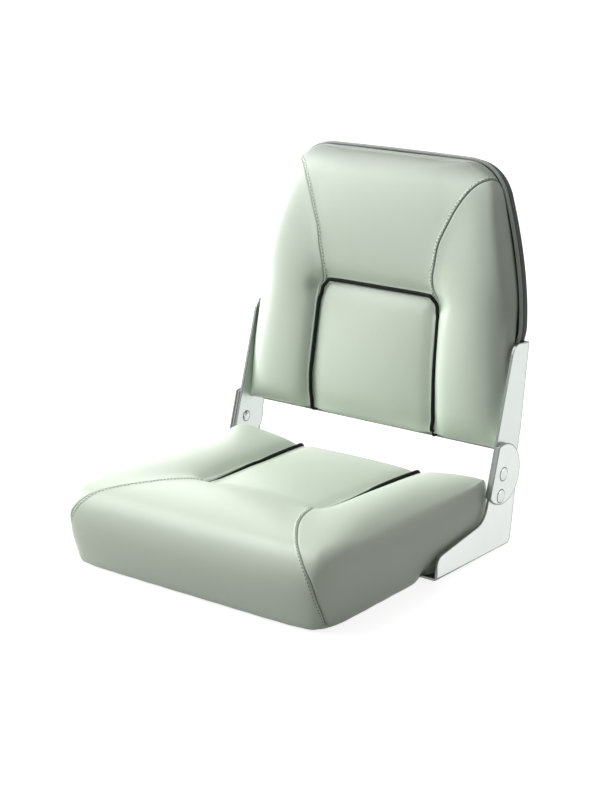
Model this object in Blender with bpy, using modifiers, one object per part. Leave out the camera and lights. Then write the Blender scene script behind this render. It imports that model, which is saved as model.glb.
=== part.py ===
"""Folding boat seat: two vinyl cushions on boards, joined by sheet-metal hinge arms.

The seat stands on the flanges of its lower arms, with +Z up and the sitter facing -Y.
Lengths are in metres. The back group hangs on an empty whose origin is the hinge axis.
"""
import bpy
import bmesh
import numpy as np
from math import atan2, cos, pi, radians, sin, tan
from mathutils import Matrix, Vector

# Fits
TOUCH_GAP = 0.0003            # left between pieces that touch
RUNNING_GAP = 0.0003          # round a shank or between hinge plates
SOFT_GAP = 0.0008             # between a pad's side and the arm beside it
CUT_OVERRUN = 0.002           # how far a cutter reaches past what it cuts

# Hinge: plates from the inside out are upper arm, lower arm, cheek
BETWEEN_ARMS = 0.406
ARM_PLATE = 0.003
CHEEK_PLATE = 0.0025
PIVOT_Y = 0.142
PIVOT_Z = 0.0995
BACK_TILT = radians(7.5)
FOLD_RANGE = radians(85)
ARM_SLOPE = radians(9.1)      # of the upper arm's front edge from its rear edge
BEND_RADIUS = 0.0045
BEND_STEPS = 3

CHEEK_RADIUS = 0.040
CHEEK_CHORD = 0.022           # from the pivot forward to the straight edge
CHEEK_EDGE = 0.0005

PIN_RADIUS = 0.004
HEAD_RADIUS = 0.00825
HEAD_HEIGHT = 0.0026
TAIL_RADIUS = 0.0068
TAIL_HEIGHT = 0.0024
BUSH_RADIUS = 0.007
GUIDE_RADIUS = 0.0285         # from the pivot to the guide pin
GUIDE_LEAD = radians(11)      # how far ahead of straight down the pin rests

# Upper arm, in the back's own frame, from the hinge axis
UPPER_ARM_TOP = 0.166
UPPER_ARM_FRONT = 0.020       # from the pivot forward to the front edge
UPPER_CORNER = 0.016
UPPER_TONGUE_RADIUS = 0.038
UPPER_TONGUE_END = radians(15)    # where the round tongue meets its straight rear edge
UPPER_FLANGE_WIDTH = 0.030
UPPER_FLANGE_FOOT = 0.052
UPPER_JOG = 0.0045
UPPER_JOG_DROP = 0.007
UPPER_REAR_LOW = 0.032        # the straight rear edge below the jog starts at this height
FLANGE_CORNER = 0.007

# Lower arm, in the seat's frame
LOWER_HEAD_RADIUS = 0.039
LOWER_HEAD_END = radians(-20)     # where the round head meets the heel's straight edge
LOWER_FOOT_FRONT_Y = -0.005
LOWER_FOOT_REAR_Y = 0.1665
LOWER_TOE_HEIGHT = 0.030
LOWER_TOE_CORNER = 0.013
LOWER_TOP_RISE = 0.016        # from the toe to the root of the neck
LOWER_NECK_ROOT = 0.03725     # from the pivot forward to the corner at the neck's root
LOWER_NECK_CORNER = 0.026
LOWER_HEEL_CORNER = 0.009
LOWER_FLANGE_WIDTH = 0.044

# Screws
SCREW_RADIUS = 0.0023
SCREW_HEAD_RADIUS = 0.0047
SUNK_HEAD_HEIGHT = 0.0023
DOME_HEAD_HEIGHT = 0.0024
SEAT_SCREW_LENGTH = 0.0125
BACK_SCREW_LENGTH = 0.021
SCREWS_PER_ARM = 3
SCREW_MARGIN = 0.022          # from a flange's end to its last screw
SCREW_EDGE = 0.0115           # from a flange's free edge to its screws

# Seat
SEAT_FRONT_Y = -0.238
SEAT_REAR_Y = 0.1315
SEAT_BASE_INSET = 0.0057      # of the base's sides from the pad's widest line
SEAT_BASE_FRONT_INSET = 0.0105
SEAT_BASE_REAR_INSET = 0.0055
SEAT_CENTRE_REAR_Z = 0.086
SEAT_CENTRE_FRONT_Z = 0.092
SEAT_BOLSTER_REAR_Z = 0.0990
SEAT_BOLSTER_FRONT_Z = 0.106
SEAT_BOLSTER_RISE_SHARE = 0.5     # of the depth, in which the bolsters rise from rear to front
SEAT_NOSE_Z = 0.1065
SEAT_CENTRE_CROWN = 0.0045
SEAT_CROWN_FADE_SHARE = 0.2       # of the depth, in which the crown fades to the rear edge
SEAT_SEAM_REAR_X = 0.0942
SEAT_SEAM_FRONT_X = 0.087
SEAT_CROSS_SEAM_Y = -0.083
SEAT_BOLSTER_CREST_X = 0.172
SEAT_NOSE_CREST_Y = -0.166
SEAT_SIDE_FALL = 0.0015       # of the bolster's top from its crest to its side
SEAT_NOSE_FALL = 0.0055       # of the nose from its crest to its front
SEAT_RIM_DROP = 0.0035        # of the top's outer line below the crowned surface
SEAT_SIDE_Z = 0.052
SEAT_SIDE_INSET = 0.009
SEAT_FRONT_INSET = 0.014
SEAT_REAR_INSET = 0.008
SEAT_SIDE_DROP = 0.014        # of the side's upper line below the top
SEAT_FRONT_DROP = 0.022
SEAT_REAR_DROP = 0.011
SEAT_FRONT_SQUARENESS = 18    # power of the rounded square, a higher one for sharper corners
SEAT_REAR_SQUARENESS = 34
SEAT_BOARD_THICKNESS = 0.012
SEAT_BOARD_INSET = 0.008
SEAT_BOARD_CORNER = 0.022
SEAM_DEPTH = 0.0035
PIPING_RADIUS = 0.0024
SEAT_PIPING_STEPS = 8
SEAT_PIPING_TAIL_SHARES = (0.55, 0.15)    # of the rear face's height, for the points down it

# Fixing pattern of a pedestal plate, in the seat board
PATTERN_SIZE = 0.127
PATTERN_Y = -0.040
TEE_NUT_RADIUS = 0.0039
TEE_NUT_BORE = 0.003
TEE_NUT_FLANGE_RADIUS = 0.0085
TEE_NUT_FLANGE = 0.0012
TEE_NUT_SUNK = 0.0003         # the barrel's mouth above the board's underside

# Back, in its own frame: depths run forward from the piping plane
BACK_PIPING_Y = 0.0219
BACK_BOTTOM_Z = 0.0265
BACK_TOP_Z = 0.3890
BACK_WIDEST_Z = 0.180
BACK_HALF_WIDTH = 0.2030
BACK_SHOULDER_Z = 0.340
BACK_SHOULDER_HALF_WIDTH = 0.1670
BACK_TAPER_POWER = 1.65       # of the outline's taper from its widest height to the shoulder
BACK_CROWN_HALF_WIDTH = 0.104
BACK_CORNER_LEAN = 0.0152     # how far the shoulder's control point stands in from the side
BACK_TOP_SAG = 0.0008         # the top edge falls this much from its middle to its corners
BACK_SIDE_STEPS = 7
BACK_BAND_DEPTH = 0.0206
BACK_BAND_EDGE = 0.003
BACK_BOARD_THICKNESS = 0.012
BACK_BOARD_INSET = 0.006
BACK_PANEL_LOW_DEPTH = 0.032
BACK_PANEL_HIGH_DEPTH = 0.0285
BACK_PANEL_CROWN = 0.0045
BACK_PANEL_TOP_Z = 0.207
BACK_PANEL_LOW_X = 0.0965
BACK_PANEL_HIGH_X = 0.0905
BACK_PANEL_CORNER = 0.018
BACK_BOLSTER_DEPTH = 0.0405
BACK_BOLSTER_CREST_X = 0.150
BACK_HEAD_DEPTH = 0.0425
BACK_HEAD_CREST_Z = 0.275
BACK_HEAD_FALL = 0.019        # of the head's front from its crest to the top edge
BACK_HEAD_FALL_POWER = 2.4
BACK_EDGE_INSET = 0.012
BACK_RIM_DROP = 0.0044        # of the front's outer line behind the crowned surface
BACK_SHOULDER_DROP = 0.0110   # of the side's front line behind the front
BACK_SIDE_DEPTH = 0.019
BACK_SLOPE_START_Z = 0.105    # from here up the sides lean in towards the front
BACK_SLOPE_FULL_Z = 0.215
BACK_SLOPE = 0.010            # how far in the side's front line stands
BACK_SLOPE_TOP = 0.0145
BACK_WAIST_LEAN_SHARE = 0.45  # of that lean, at half the side's depth
BACK_BULGE = 0.0024           # how far the pad's sides stand out low down
BACK_BULGE_END_Z = 0.165
BACK_LOW_CORNER = 0.0013      # how far the lower corners are drawn in
BACK_PANEL_STEPS = 5
BACK_PANEL_TAIL_SHARE = 0.35  # of the way up the lower edge, for the piping's second point
BACK_LOW_TAPER = 0.060        # height over which the lower end thins to its edge
BACK_LOW_THINNING = 0.009

# Derived places
UPPER_INNER_X = BETWEEN_ARMS / 2
UPPER_OUTER_X = UPPER_INNER_X + ARM_PLATE
LOWER_INNER_X = UPPER_OUTER_X + RUNNING_GAP
LOWER_OUTER_X = LOWER_INNER_X + ARM_PLATE
CHEEK_INNER_X = LOWER_OUTER_X + RUNNING_GAP
CHEEK_OUTER_X = CHEEK_INNER_X + CHEEK_PLATE
SEAT_BOTTOM_Z = ARM_PLATE + TOUCH_GAP
SEAT_MID_Y = (SEAT_FRONT_Y + SEAT_REAR_Y) / 2
SEAT_HALF_DEPTH = (SEAT_REAR_Y - SEAT_FRONT_Y) / 2
BACK_REAR_Y = BACK_PIPING_Y + BACK_BAND_DEPTH
UPPER_FLANGE_Y = BACK_REAR_Y + TOUCH_GAP + ARM_PLATE
BACK_LOW_HALF_WIDTH = UPPER_INNER_X - SOFT_GAP - PIPING_RADIUS
SEAT_HALF_WIDTH = UPPER_INNER_X - SOFT_GAP
SEAT_BASE_HALF_WIDTH = SEAT_HALF_WIDTH - SEAT_BASE_INSET
SEAT_BASE_FRONT_Y = SEAT_FRONT_Y + SEAT_BASE_FRONT_INSET
SEAT_BASE_REAR_Y = SEAT_REAR_Y - SEAT_BASE_REAR_INSET
SIDES = (("left", -1), ("right", 1))

# Facets
ROUND_STEPS = 16
SMALL_STEPS = 12
PROFILE_STEPS = 4
SHARP_ANGLE = radians(60)     # an edge sharper than this is softened on a plate

# Cage lines from the middle out, as shares of a half width, with the seam's own line as None
SEAT_COLUMN_SHARES = (0.25, None, 0.64, 0.88, 1.0)
BACK_COLUMN_SHARES = (0.25, None, 0.60, 0.87, 1.0)
SEAM_COLUMN = 2

# Cage lines along each pad, as shares of its half depth or its height
SEAT_ROW_SHARES = (-1.0, -0.85, -0.60, -0.36, None, 0.12, 0.50, 0.88, 1.0)
BACK_ROW_SHARES = (0.0, 0.055, 0.20, 0.36, None, 0.58, 0.72, 0.85, 0.94, 1.0)
BACK_SEAM_TOP_SHARE = 0.60    # the seam's line is no further out than this share

MODEL = "folding_boat_seat"


# Scene, materials and small helpers
def clear_scene():
    for item in list(bpy.data.objects):
        bpy.data.objects.remove(item, do_unlink=True)


def new_collection(name):
    collection = bpy.data.collections.new(name)
    bpy.context.scene.collection.children.link(collection)
    return collection


def new_material(name, colour, roughness, metallic=0.0):
    material = bpy.data.materials.new(name)
    material.use_nodes = True
    shader = material.node_tree.nodes["Principled BSDF"]
    shader.inputs["Base Color"].default_value = (*colour, 1.0)
    shader.inputs["Roughness"].default_value = roughness
    shader.inputs["Metallic"].default_value = metallic
    material.diffuse_color = (*colour, 1.0)
    return material


def add_mesh_object(name, mesh, collection, material=None, parent=None):
    item = bpy.data.objects.new(name, mesh)
    collection.objects.link(item)
    if material is not None:
        mesh.materials.clear()
        mesh.materials.append(material)
    item.parent = parent
    return item


def mesh_from(bm, name):
    mesh = bpy.data.meshes.new(name)
    bm.to_mesh(mesh)
    bm.free()
    return mesh


def make_cutter(item):
    item.hide_render = True
    item.display_type = "WIRE"
    return item


def cut(item, cutter):
    modifier = item.modifiers.new("cut_" + cutter.name, "BOOLEAN")
    modifier.operation = "DIFFERENCE"
    modifier.solver = "EXACT"
    modifier.object = cutter
    return modifier


def curve_to_mesh_object(item, collection, material=None):
    """Turn a curve object into a closed mesh object of the same name and place."""
    bpy.context.view_layer.update()
    evaluated = item.evaluated_get(bpy.context.evaluated_depsgraph_get())
    mesh = bpy.data.meshes.new_from_object(evaluated)
    bm = bmesh.new()
    bm.from_mesh(mesh)
    bmesh.ops.remove_doubles(bm, verts=bm.verts, dist=TOUCH_GAP / ROUND_STEPS)
    bm.to_mesh(mesh)
    bm.free()
    name = item.name
    parent = item.parent
    basis = item.matrix_basis.copy()
    bpy.data.objects.remove(item, do_unlink=True)
    made = add_mesh_object(name, mesh, collection, material, parent)
    made.matrix_basis = basis
    return made


def tube(name, points, radius, collection, material=None, parent=None, cyclic=False, sides=2):
    """A round rod along the points, closed at its ends, as a mesh object."""
    curve = bpy.data.curves.new(name, "CURVE")
    curve.dimensions = "3D"
    curve.bevel_depth = radius
    curve.bevel_resolution = sides
    curve.use_fill_caps = True
    spline = curve.splines.new("POLY")
    spline.points.add(len(points) - 1)
    for point, place in zip(spline.points, points):
        point.co = (*place, 1.0)
    spline.use_cyclic_u = cyclic
    item = bpy.data.objects.new(name, curve)
    collection.objects.link(item)
    item.parent = parent
    return curve_to_mesh_object(item, collection, material)


def flat_plate(name, outline, thickness, collection, material=None, parent=None, matrix=None):
    """A plate of the outline in its own XY plane, centred on that plane."""
    curve = bpy.data.curves.new(name, "CURVE")
    curve.dimensions = "2D"
    curve.fill_mode = "BOTH"
    curve.extrude = thickness / 2
    spline = curve.splines.new("POLY")
    spline.points.add(len(outline) - 1)
    for point, place in zip(spline.points, outline):
        point.co = (place[0], place[1], 0.0, 1.0)
    spline.use_cyclic_u = True
    item = bpy.data.objects.new(name, curve)
    collection.objects.link(item)
    item.parent = parent
    if matrix is not None:
        item.matrix_basis = matrix
    return curve_to_mesh_object(item, collection, material)


def turned(name, profile, steps, collection, material=None, parent=None, matrix=None):
    """A body turned about its own Z from (radius, height) pairs, listed top to bottom."""
    bm = bmesh.new()
    verts = [bm.verts.new((radius, 0.0, height)) for radius, height in profile]
    for first, second in zip(verts, verts[1:]):
        bm.edges.new((first, second))
    mesh = mesh_from(bm, name)
    item = add_mesh_object(name, mesh, collection, material, parent)
    if matrix is not None:
        item.matrix_basis = matrix
    screw = item.modifiers.new("turn", "SCREW")
    screw.axis = "Z"
    screw.steps = steps
    screw.render_steps = steps
    screw.use_merge_vertices = True
    screw.merge_threshold = TOUCH_GAP / ROUND_STEPS
    screw.use_smooth_shade = True
    return item


def baked(item):
    """Replace an object's mesh by its evaluated one, so that it can be joined or copied."""
    bpy.context.view_layer.update()
    evaluated = item.evaluated_get(bpy.context.evaluated_depsgraph_get())
    mesh = bpy.data.meshes.new_from_object(evaluated)
    item.modifiers.clear()
    item.data = mesh
    return item


def joined(name, items, collection, material, parent=None):
    """One object holding the separate solids of several, in the parent's frame."""
    bpy.context.view_layer.update()
    bm = bmesh.new()
    for item in items:
        baked(item)
        part = item.data.copy()
        part.transform(item.matrix_basis)
        bm.from_mesh(part)
    for item in items:
        bpy.data.objects.remove(item, do_unlink=True)
    mesh = mesh_from(bm, name)
    return add_mesh_object(name, mesh, collection, material, parent)


def arc(centre, radius, start, end, steps):
    """Points on an arc, with angles from the first axis towards the second."""
    angles = np.linspace(start, end, steps + 1)
    return [(centre[0] + radius * cos(a), centre[1] + radius * sin(a)) for a in angles]


def rounded_corner(before, corner, after, radius, steps):
    """The arc that rounds one corner of an outline."""
    corner = Vector(corner)
    inward = (Vector(before) - corner).normalized()
    outward = (Vector(after) - corner).normalized()
    half = inward.angle(outward) / 2
    reach = radius / tan(half)
    centre = corner + (inward + outward).normalized() * radius / sin(half)
    first = corner + inward * reach - centre
    last = corner + outward * reach - centre
    start = atan2(first.y, first.x)
    sweep = atan2(first.x * last.y - first.y * last.x, first.dot(last))
    return arc(centre, radius, start, start + sweep, steps)


def rounded_outline(corners, steps):
    """An outline from (place, radius) corners; a radius of 0 keeps the corner sharp."""
    points = []
    for index, (place, radius) in enumerate(corners):
        if radius == 0:
            points.append(tuple(place))
            continue
        before = corners[index - 1][0]
        after = corners[(index + 1) % len(corners)][0]
        points += rounded_corner(before, place, after, radius, steps)
    return points


def inset_outline(points, distance):
    """The outline moved inward; its points run anticlockwise."""
    count = len(points)
    moved = []
    for index, place in enumerate(points):
        before = Vector(points[index - 1])
        after = Vector(points[(index + 1) % count])
        along = (after - before).normalized()
        moved.append((place[0] - along.y * distance, place[1] + along.x * distance))
    return moved


def smooth_share(value):
    value = min(max(value, 0.0), 1.0)
    return value * value * (3 - 2 * value)


def mix(first, second, share):
    return first + (second - first) * share


def side_plane(x):
    """A matrix that lays an outline's (first, second) axes on Y and Z at a width x."""
    turn = Matrix(((0, 0, 1, 0), (1, 0, 0, 0), (0, 1, 0, 0), (0, 0, 0, 1)))
    return Matrix.Translation((x, 0, 0)) @ turn


def along_x(x, y, z, side):
    """A matrix that points a turned body's own Z outward, from the inside to the given side."""
    return Matrix.Translation((x * side, y, z)) @ Matrix.Rotation(side * pi / 2, 4, "Y")


# Hinge arms
def bent_sheet(name, side, outer_x, outline, flange_edge, flange_width, collection, material,
               parent=None):
    """A plate with one straight edge bent inward as a flange, as a folded sheet."""
    bm = bmesh.new()
    verts = [bm.verts.new((side * outer_x, y, z)) for y, z in outline]
    face = bm.faces.new(verts)
    face.normal_update()
    if face.normal.x * side < 0:
        face.normal_flip()
    edge = bm.edges.get((verts[flange_edge], verts[flange_edge + 1]))
    grown = bmesh.ops.extrude_edge_only(bm, edges=[edge])["geom"]
    tips = [v for v in grown if isinstance(v, bmesh.types.BMVert)]
    bmesh.ops.translate(bm, verts=tips, vec=(-side * flange_width, 0, 0))
    bmesh.ops.bevel(bm, geom=tips, offset=FLANGE_CORNER, segments=PROFILE_STEPS, profile=0.5,
                    affect="VERTICES", material=-1)
    edge = min((e for e in bm.edges if len(e.link_faces) == 2), key=lambda e: -e.calc_length())
    bmesh.ops.bevel(bm, geom=[edge], offset=BEND_RADIUS, segments=BEND_STEPS, profile=0.5,
                    affect="EDGES", material=-1)
    bmesh.ops.recalc_face_normals(bm, faces=bm.faces)
    plate = max(bm.faces, key=lambda f: f.calc_area())
    if plate.normal.x * side < 0:
        bmesh.ops.reverse_faces(bm, faces=bm.faces)
    item = add_mesh_object(name, mesh_from(bm, name), collection, material, parent)
    solidify = item.modifiers.new("sheet", "SOLIDIFY")
    solidify.thickness = ARM_PLATE
    solidify.offset = -1.0
    solidify.use_even_offset = True
    return item


def upper_arm_outline():
    """The upper arm's plate in the back's frame, anticlockwise as seen from +X."""
    slope = Vector((sin(ARM_SLOPE), cos(ARM_SLOPE)))
    normal = Vector((-cos(ARM_SLOPE), sin(ARM_SLOPE)))
    front_foot = normal * UPPER_ARM_FRONT
    reach = (UPPER_ARM_TOP - front_foot.y) / slope.y
    front_top = front_foot + slope * reach
    drop = (UPPER_TONGUE_RADIUS ** 2 - UPPER_ARM_FRONT ** 2) ** 0.5
    tongue_start = front_foot - slope * drop
    jog_y = UPPER_FLANGE_Y - UPPER_JOG
    points = rounded_corner(front_foot, front_top, (UPPER_FLANGE_Y, UPPER_ARM_TOP), UPPER_CORNER,
                            PROFILE_STEPS)
    points.reverse()
    start = atan2(tongue_start.y, tongue_start.x)
    tongue = arc((0, 0), UPPER_TONGUE_RADIUS, start, UPPER_TONGUE_END, ROUND_STEPS // 2)
    flange = [(UPPER_FLANGE_Y, UPPER_FLANGE_FOOT), (UPPER_FLANGE_Y, UPPER_ARM_TOP)]
    jog = [(jog_y - TOUCH_GAP, UPPER_REAR_LOW), (jog_y, UPPER_FLANGE_FOOT - UPPER_JOG_DROP)]
    outline = tongue + jog + flange + points
    return outline, len(tongue) + len(jog)


def lower_arm_outline():
    """The lower arm's plate in the seat's frame, anticlockwise as seen from +X."""
    pivot = Vector((PIVOT_Y, PIVOT_Z))
    lean = ARM_SLOPE + BACK_TILT
    slope = Vector((sin(lean), cos(lean)))
    forward = Vector((-cos(lean), sin(lean)))
    inset = CHEEK_CHORD - CHEEK_EDGE * 2
    half = (LOWER_HEAD_RADIUS ** 2 - inset ** 2) ** 0.5
    head_start = forward * inset + slope * half
    start = atan2(head_start.y, head_start.x)
    head = arc(pivot, LOWER_HEAD_RADIUS, start, LOWER_HEAD_END, ROUND_STEPS // 2)
    head.reverse()
    neck_low = pivot + forward * inset - slope * half
    toe = Vector((LOWER_FOOT_FRONT_Y, LOWER_TOE_HEIGHT))
    root = Vector((PIVOT_Y - LOWER_NECK_ROOT, LOWER_TOE_HEIGHT + LOWER_TOP_RISE))
    heel = Vector((LOWER_FOOT_REAR_Y, 0))
    foot = Vector((LOWER_FOOT_FRONT_Y, 0))
    outline = [tuple(foot)]
    outline += rounded_corner(foot, heel, head[0], LOWER_HEEL_CORNER, PROFILE_STEPS)
    outline += head
    outline += rounded_corner(neck_low, root, toe, LOWER_NECK_CORNER, PROFILE_STEPS)
    outline += rounded_corner(root, toe, foot, LOWER_TOE_CORNER, PROFILE_STEPS)
    return outline


def slot_cutter(name, side, collection):
    """The arc slot that the guide pin runs in as the back folds."""
    rest = -pi / 2 - GUIDE_LEAD
    pin = PIN_RADIUS + RUNNING_GAP
    pivot = (PIVOT_Y, PIVOT_Z)
    outer = arc(pivot, GUIDE_RADIUS + pin, rest, rest + FOLD_RANGE, ROUND_STEPS)
    inner = arc(pivot, GUIDE_RADIUS - pin, rest + FOLD_RANGE, rest, ROUND_STEPS)
    ends = [(PIVOT_Y + GUIDE_RADIUS * cos(a), PIVOT_Z + GUIDE_RADIUS * sin(a))
            for a in (rest, rest + FOLD_RANGE)]
    far = arc(ends[1], pin, rest + FOLD_RANGE, rest + FOLD_RANGE + pi, ROUND_STEPS // 2)
    near = arc(ends[0], pin, rest + pi, rest + 2 * pi, ROUND_STEPS // 2)
    outline = outer + far[1:-1] + inner + near[1:-1]
    middle = (LOWER_INNER_X + LOWER_OUTER_X) / 2
    depth = ARM_PLATE + 2 * CUT_OVERRUN
    return make_cutter(flat_plate(name, outline, depth, collection, matrix=side_plane(side * middle)))


def pin_cutter(name, side, inner_x, outer_x, radius, y, z, collection, parent=None):
    """A plain round cutter across the hinge plates."""
    profile = [(0, outer_x + CUT_OVERRUN), (radius, outer_x + CUT_OVERRUN),
               (radius, inner_x - CUT_OVERRUN), (0, inner_x - CUT_OVERRUN)]
    matrix = along_x(0, y, z, side)
    return make_cutter(turned(name, profile, ROUND_STEPS, collection, parent=parent, matrix=matrix))


def dome(radius, height, base, steps):
    """The (radius, height) points of a low dome, from its crown to its rim."""
    sphere = (radius * radius + height * height) / (2 * height)
    spread = atan2(radius, sphere - height)
    angles = [spread * step / steps for step in range(steps + 1)]
    return [(sphere * sin(a), base + sphere * cos(a) - (sphere - height)) for a in angles]


def rivet(name, side, y, z, collection, material, parent):
    """A rivet through cheek, lower arm and upper arm, with a head outside and a tail inside."""
    head_base = CHEEK_OUTER_X + TOUCH_GAP
    tail_base = UPPER_INNER_X - TOUCH_GAP
    profile = dome(HEAD_RADIUS, HEAD_HEIGHT, head_base, PROFILE_STEPS)
    profile += [(PIN_RADIUS, head_base), (PIN_RADIUS, tail_base)]
    tail = dome(TAIL_RADIUS, TAIL_HEIGHT, 0, PROFILE_STEPS)
    profile += [(radius, tail_base - height) for radius, height in reversed(tail)]
    matrix = along_x(0, y, z, side)
    return turned(name, profile, ROUND_STEPS, collection, material, parent, matrix)


# Screws
def screw_profile(length, head_height, sunk, grow=0.0):
    """A screw along its own Z, head up, with the underside of a domed head at zero."""
    radius = SCREW_RADIUS + grow
    head = SCREW_HEAD_RADIUS + grow
    if sunk:
        lip = TOUCH_GAP
        return [(0, 0), (head, 0), (head, -lip), (radius, -lip - head_height),
                (radius, -length - grow), (0, -length - grow)]
    top = dome(head, head_height, TOUCH_GAP, PROFILE_STEPS)
    return top + [(radius, TOUCH_GAP), (radius, -length), (0, -length)]


def screw_places(start, end):
    low = start + SCREW_MARGIN
    high = end - SCREW_MARGIN
    return [mix(low, high, index / (SCREWS_PER_ARM - 1)) for index in range(SCREWS_PER_ARM)]


def screw_row(name, places, length, head_height, sunk, collection, cutters, material, parent):
    """Screws at the given matrices, and one cutter object with a hole for each."""
    holes = []
    for index, matrix in enumerate(places, 1):
        profile = screw_profile(length, head_height, sunk)
        turned(f"{name}_{index}", profile, SMALL_STEPS, collection, material, parent, matrix)
        if sunk:
            hole = screw_profile(length, head_height, True, RUNNING_GAP)
            hole = [(0, CUT_OVERRUN), (hole[1][0], CUT_OVERRUN)] + hole[2:]
        else:
            radius = SCREW_RADIUS + RUNNING_GAP
            hole = [(0, CUT_OVERRUN), (radius, CUT_OVERRUN), (radius, -length - RUNNING_GAP),
                    (0, -length - RUNNING_GAP)]
        holes.append(turned(f"{name}_hole_{index}", hole, SMALL_STEPS, cutters, parent=parent,
                            matrix=matrix))
    return make_cutter(joined(name + "_holes", holes, cutters, None, parent))


# Seat cushion
def seat_seam_x(y):
    share = (SEAT_REAR_Y - y) / (SEAT_REAR_Y - SEAT_CROSS_SEAM_Y)
    return mix(SEAT_SEAM_REAR_X, SEAT_SEAM_FRONT_X, min(max(share, 0.0), 1.0))


def seat_seam_z(y):
    share = (SEAT_REAR_Y - y) / (SEAT_REAR_Y - SEAT_CROSS_SEAM_Y)
    return mix(SEAT_CENTRE_REAR_Z, SEAT_CENTRE_FRONT_Z, min(max(share, 0.0), 1.0))


def seat_height(x, y):
    """The height of the seat's top surface, before its edges are rounded."""
    width = abs(x)
    seam = seat_seam_x(y)
    low = seat_seam_z(y)
    share = (SEAT_REAR_Y - y) / (2 * SEAT_HALF_DEPTH)
    rise = smooth_share(share / SEAT_BOLSTER_RISE_SHARE)
    crest = mix(SEAT_BOLSTER_REAR_Z, SEAT_BOLSTER_FRONT_Z, rise)
    if width <= seam:
        rear_fade = smooth_share(share / SEAT_CROWN_FADE_SHARE)
        height = low + SEAT_CENTRE_CROWN * rear_fade * (1 - (width / seam) ** 2)
    else:
        run = (width - seam) / (SEAT_BOLSTER_CREST_X - seam)
        height = mix(low, crest, 1 - max(1 - run, 0.0) ** 2)
        past = max(width - SEAT_BOLSTER_CREST_X, 0.0) / (SEAT_HALF_WIDTH - SEAT_BOLSTER_CREST_X)
        height -= SEAT_SIDE_FALL * past ** 2
    ahead = (SEAT_CROSS_SEAM_Y - y) / (SEAT_CROSS_SEAM_Y - SEAT_NOSE_CREST_Y)
    if ahead > 0:
        nose = mix(height, SEAT_NOSE_Z, 1 - max(1 - ahead, 0.0) ** 2)
        past = max(SEAT_NOSE_CREST_Y - y, 0.0) / (SEAT_NOSE_CREST_Y - SEAT_FRONT_Y)
        height = nose - SEAT_NOSE_FALL * past ** 2
    return height


def squircle(s, t, power):
    """Pull a point of the unit square's rim in towards a rounded square."""
    pull = (abs(s) ** power + abs(t) ** power) ** (-1 / power) if s or t else 1.0
    return s * min(pull, 1.0), t * min(pull, 1.0)


def grid_cage(column_count, row_count):
    """A flat grid and its vertices by (column, row)."""
    bm = bmesh.new()
    bm.edges.layers.float.new("crease_edge")
    bmesh.ops.create_grid(bm, x_segments=column_count, y_segments=row_count, size=1.0)
    places = {}
    for vert in bm.verts:
        column = round((vert.co.x + 1) / 2 * column_count)
        row = round((vert.co.y + 1) / 2 * row_count)
        places[column, row] = vert
    return bm, places


def rim_of(bm):
    return [edge for edge in bm.edges if edge.is_boundary]


def grow_ring(bm, key_of, placer):
    """Extrude the open rim and place the new ring's vertices by their cage keys."""
    grown = bmesh.ops.extrude_edge_only(bm, edges=rim_of(bm))["geom"]
    fresh = [item for item in grown if isinstance(item, bmesh.types.BMVert)]
    keys = {}
    for vert in fresh:
        for edge in vert.link_edges:
            other = edge.other_vert(vert)
            if other in key_of and other not in keys:
                keys[vert] = key_of[other]
    for vert in fresh:
        vert.co = placer(*keys[vert])
    return keys


def crease_edges(bm, chosen):
    layer = bm.edges.layers.float["crease_edge"]
    for edge in chosen:
        edge[layer] = 1.0


def in_seam(column, half, row, seam_row, open_rows):
    """Whether a cage point lies on the seam round the centre panel."""
    along = abs(column - half) == SEAM_COLUMN and row in open_rows
    across = row == seam_row and abs(column - half) <= SEAM_COLUMN
    return along or across


def seam_edges(bm, key_of, half, seam_row, open_rows):
    """The top's edges on that seam, which stay creased."""
    found = []
    for edge in bm.edges:
        keys = [key_of.get(vert) for vert in edge.verts]
        if None in keys:
            continue
        if not all(in_seam(column, half, row, seam_row, open_rows) for column, row in keys):
            continue
        if keys[0][0] == keys[1][0] or keys[0][1] == keys[1][1] == seam_row:
            found.append(edge)
    return found


def finish_pad(name, bm, collection, material, parent=None):
    """Close the cage over its last ring and smooth it once."""
    bmesh.ops.holes_fill(bm, edges=rim_of(bm), sides=0)
    bmesh.ops.recalc_face_normals(bm, faces=bm.faces)
    item = add_mesh_object(name, mesh_from(bm, name), collection, material, parent)
    smooth = item.modifiers.new("pad", "SUBSURF")
    smooth.levels = 1
    smooth.render_levels = 1
    item.data.shade_smooth()
    return item


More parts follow.
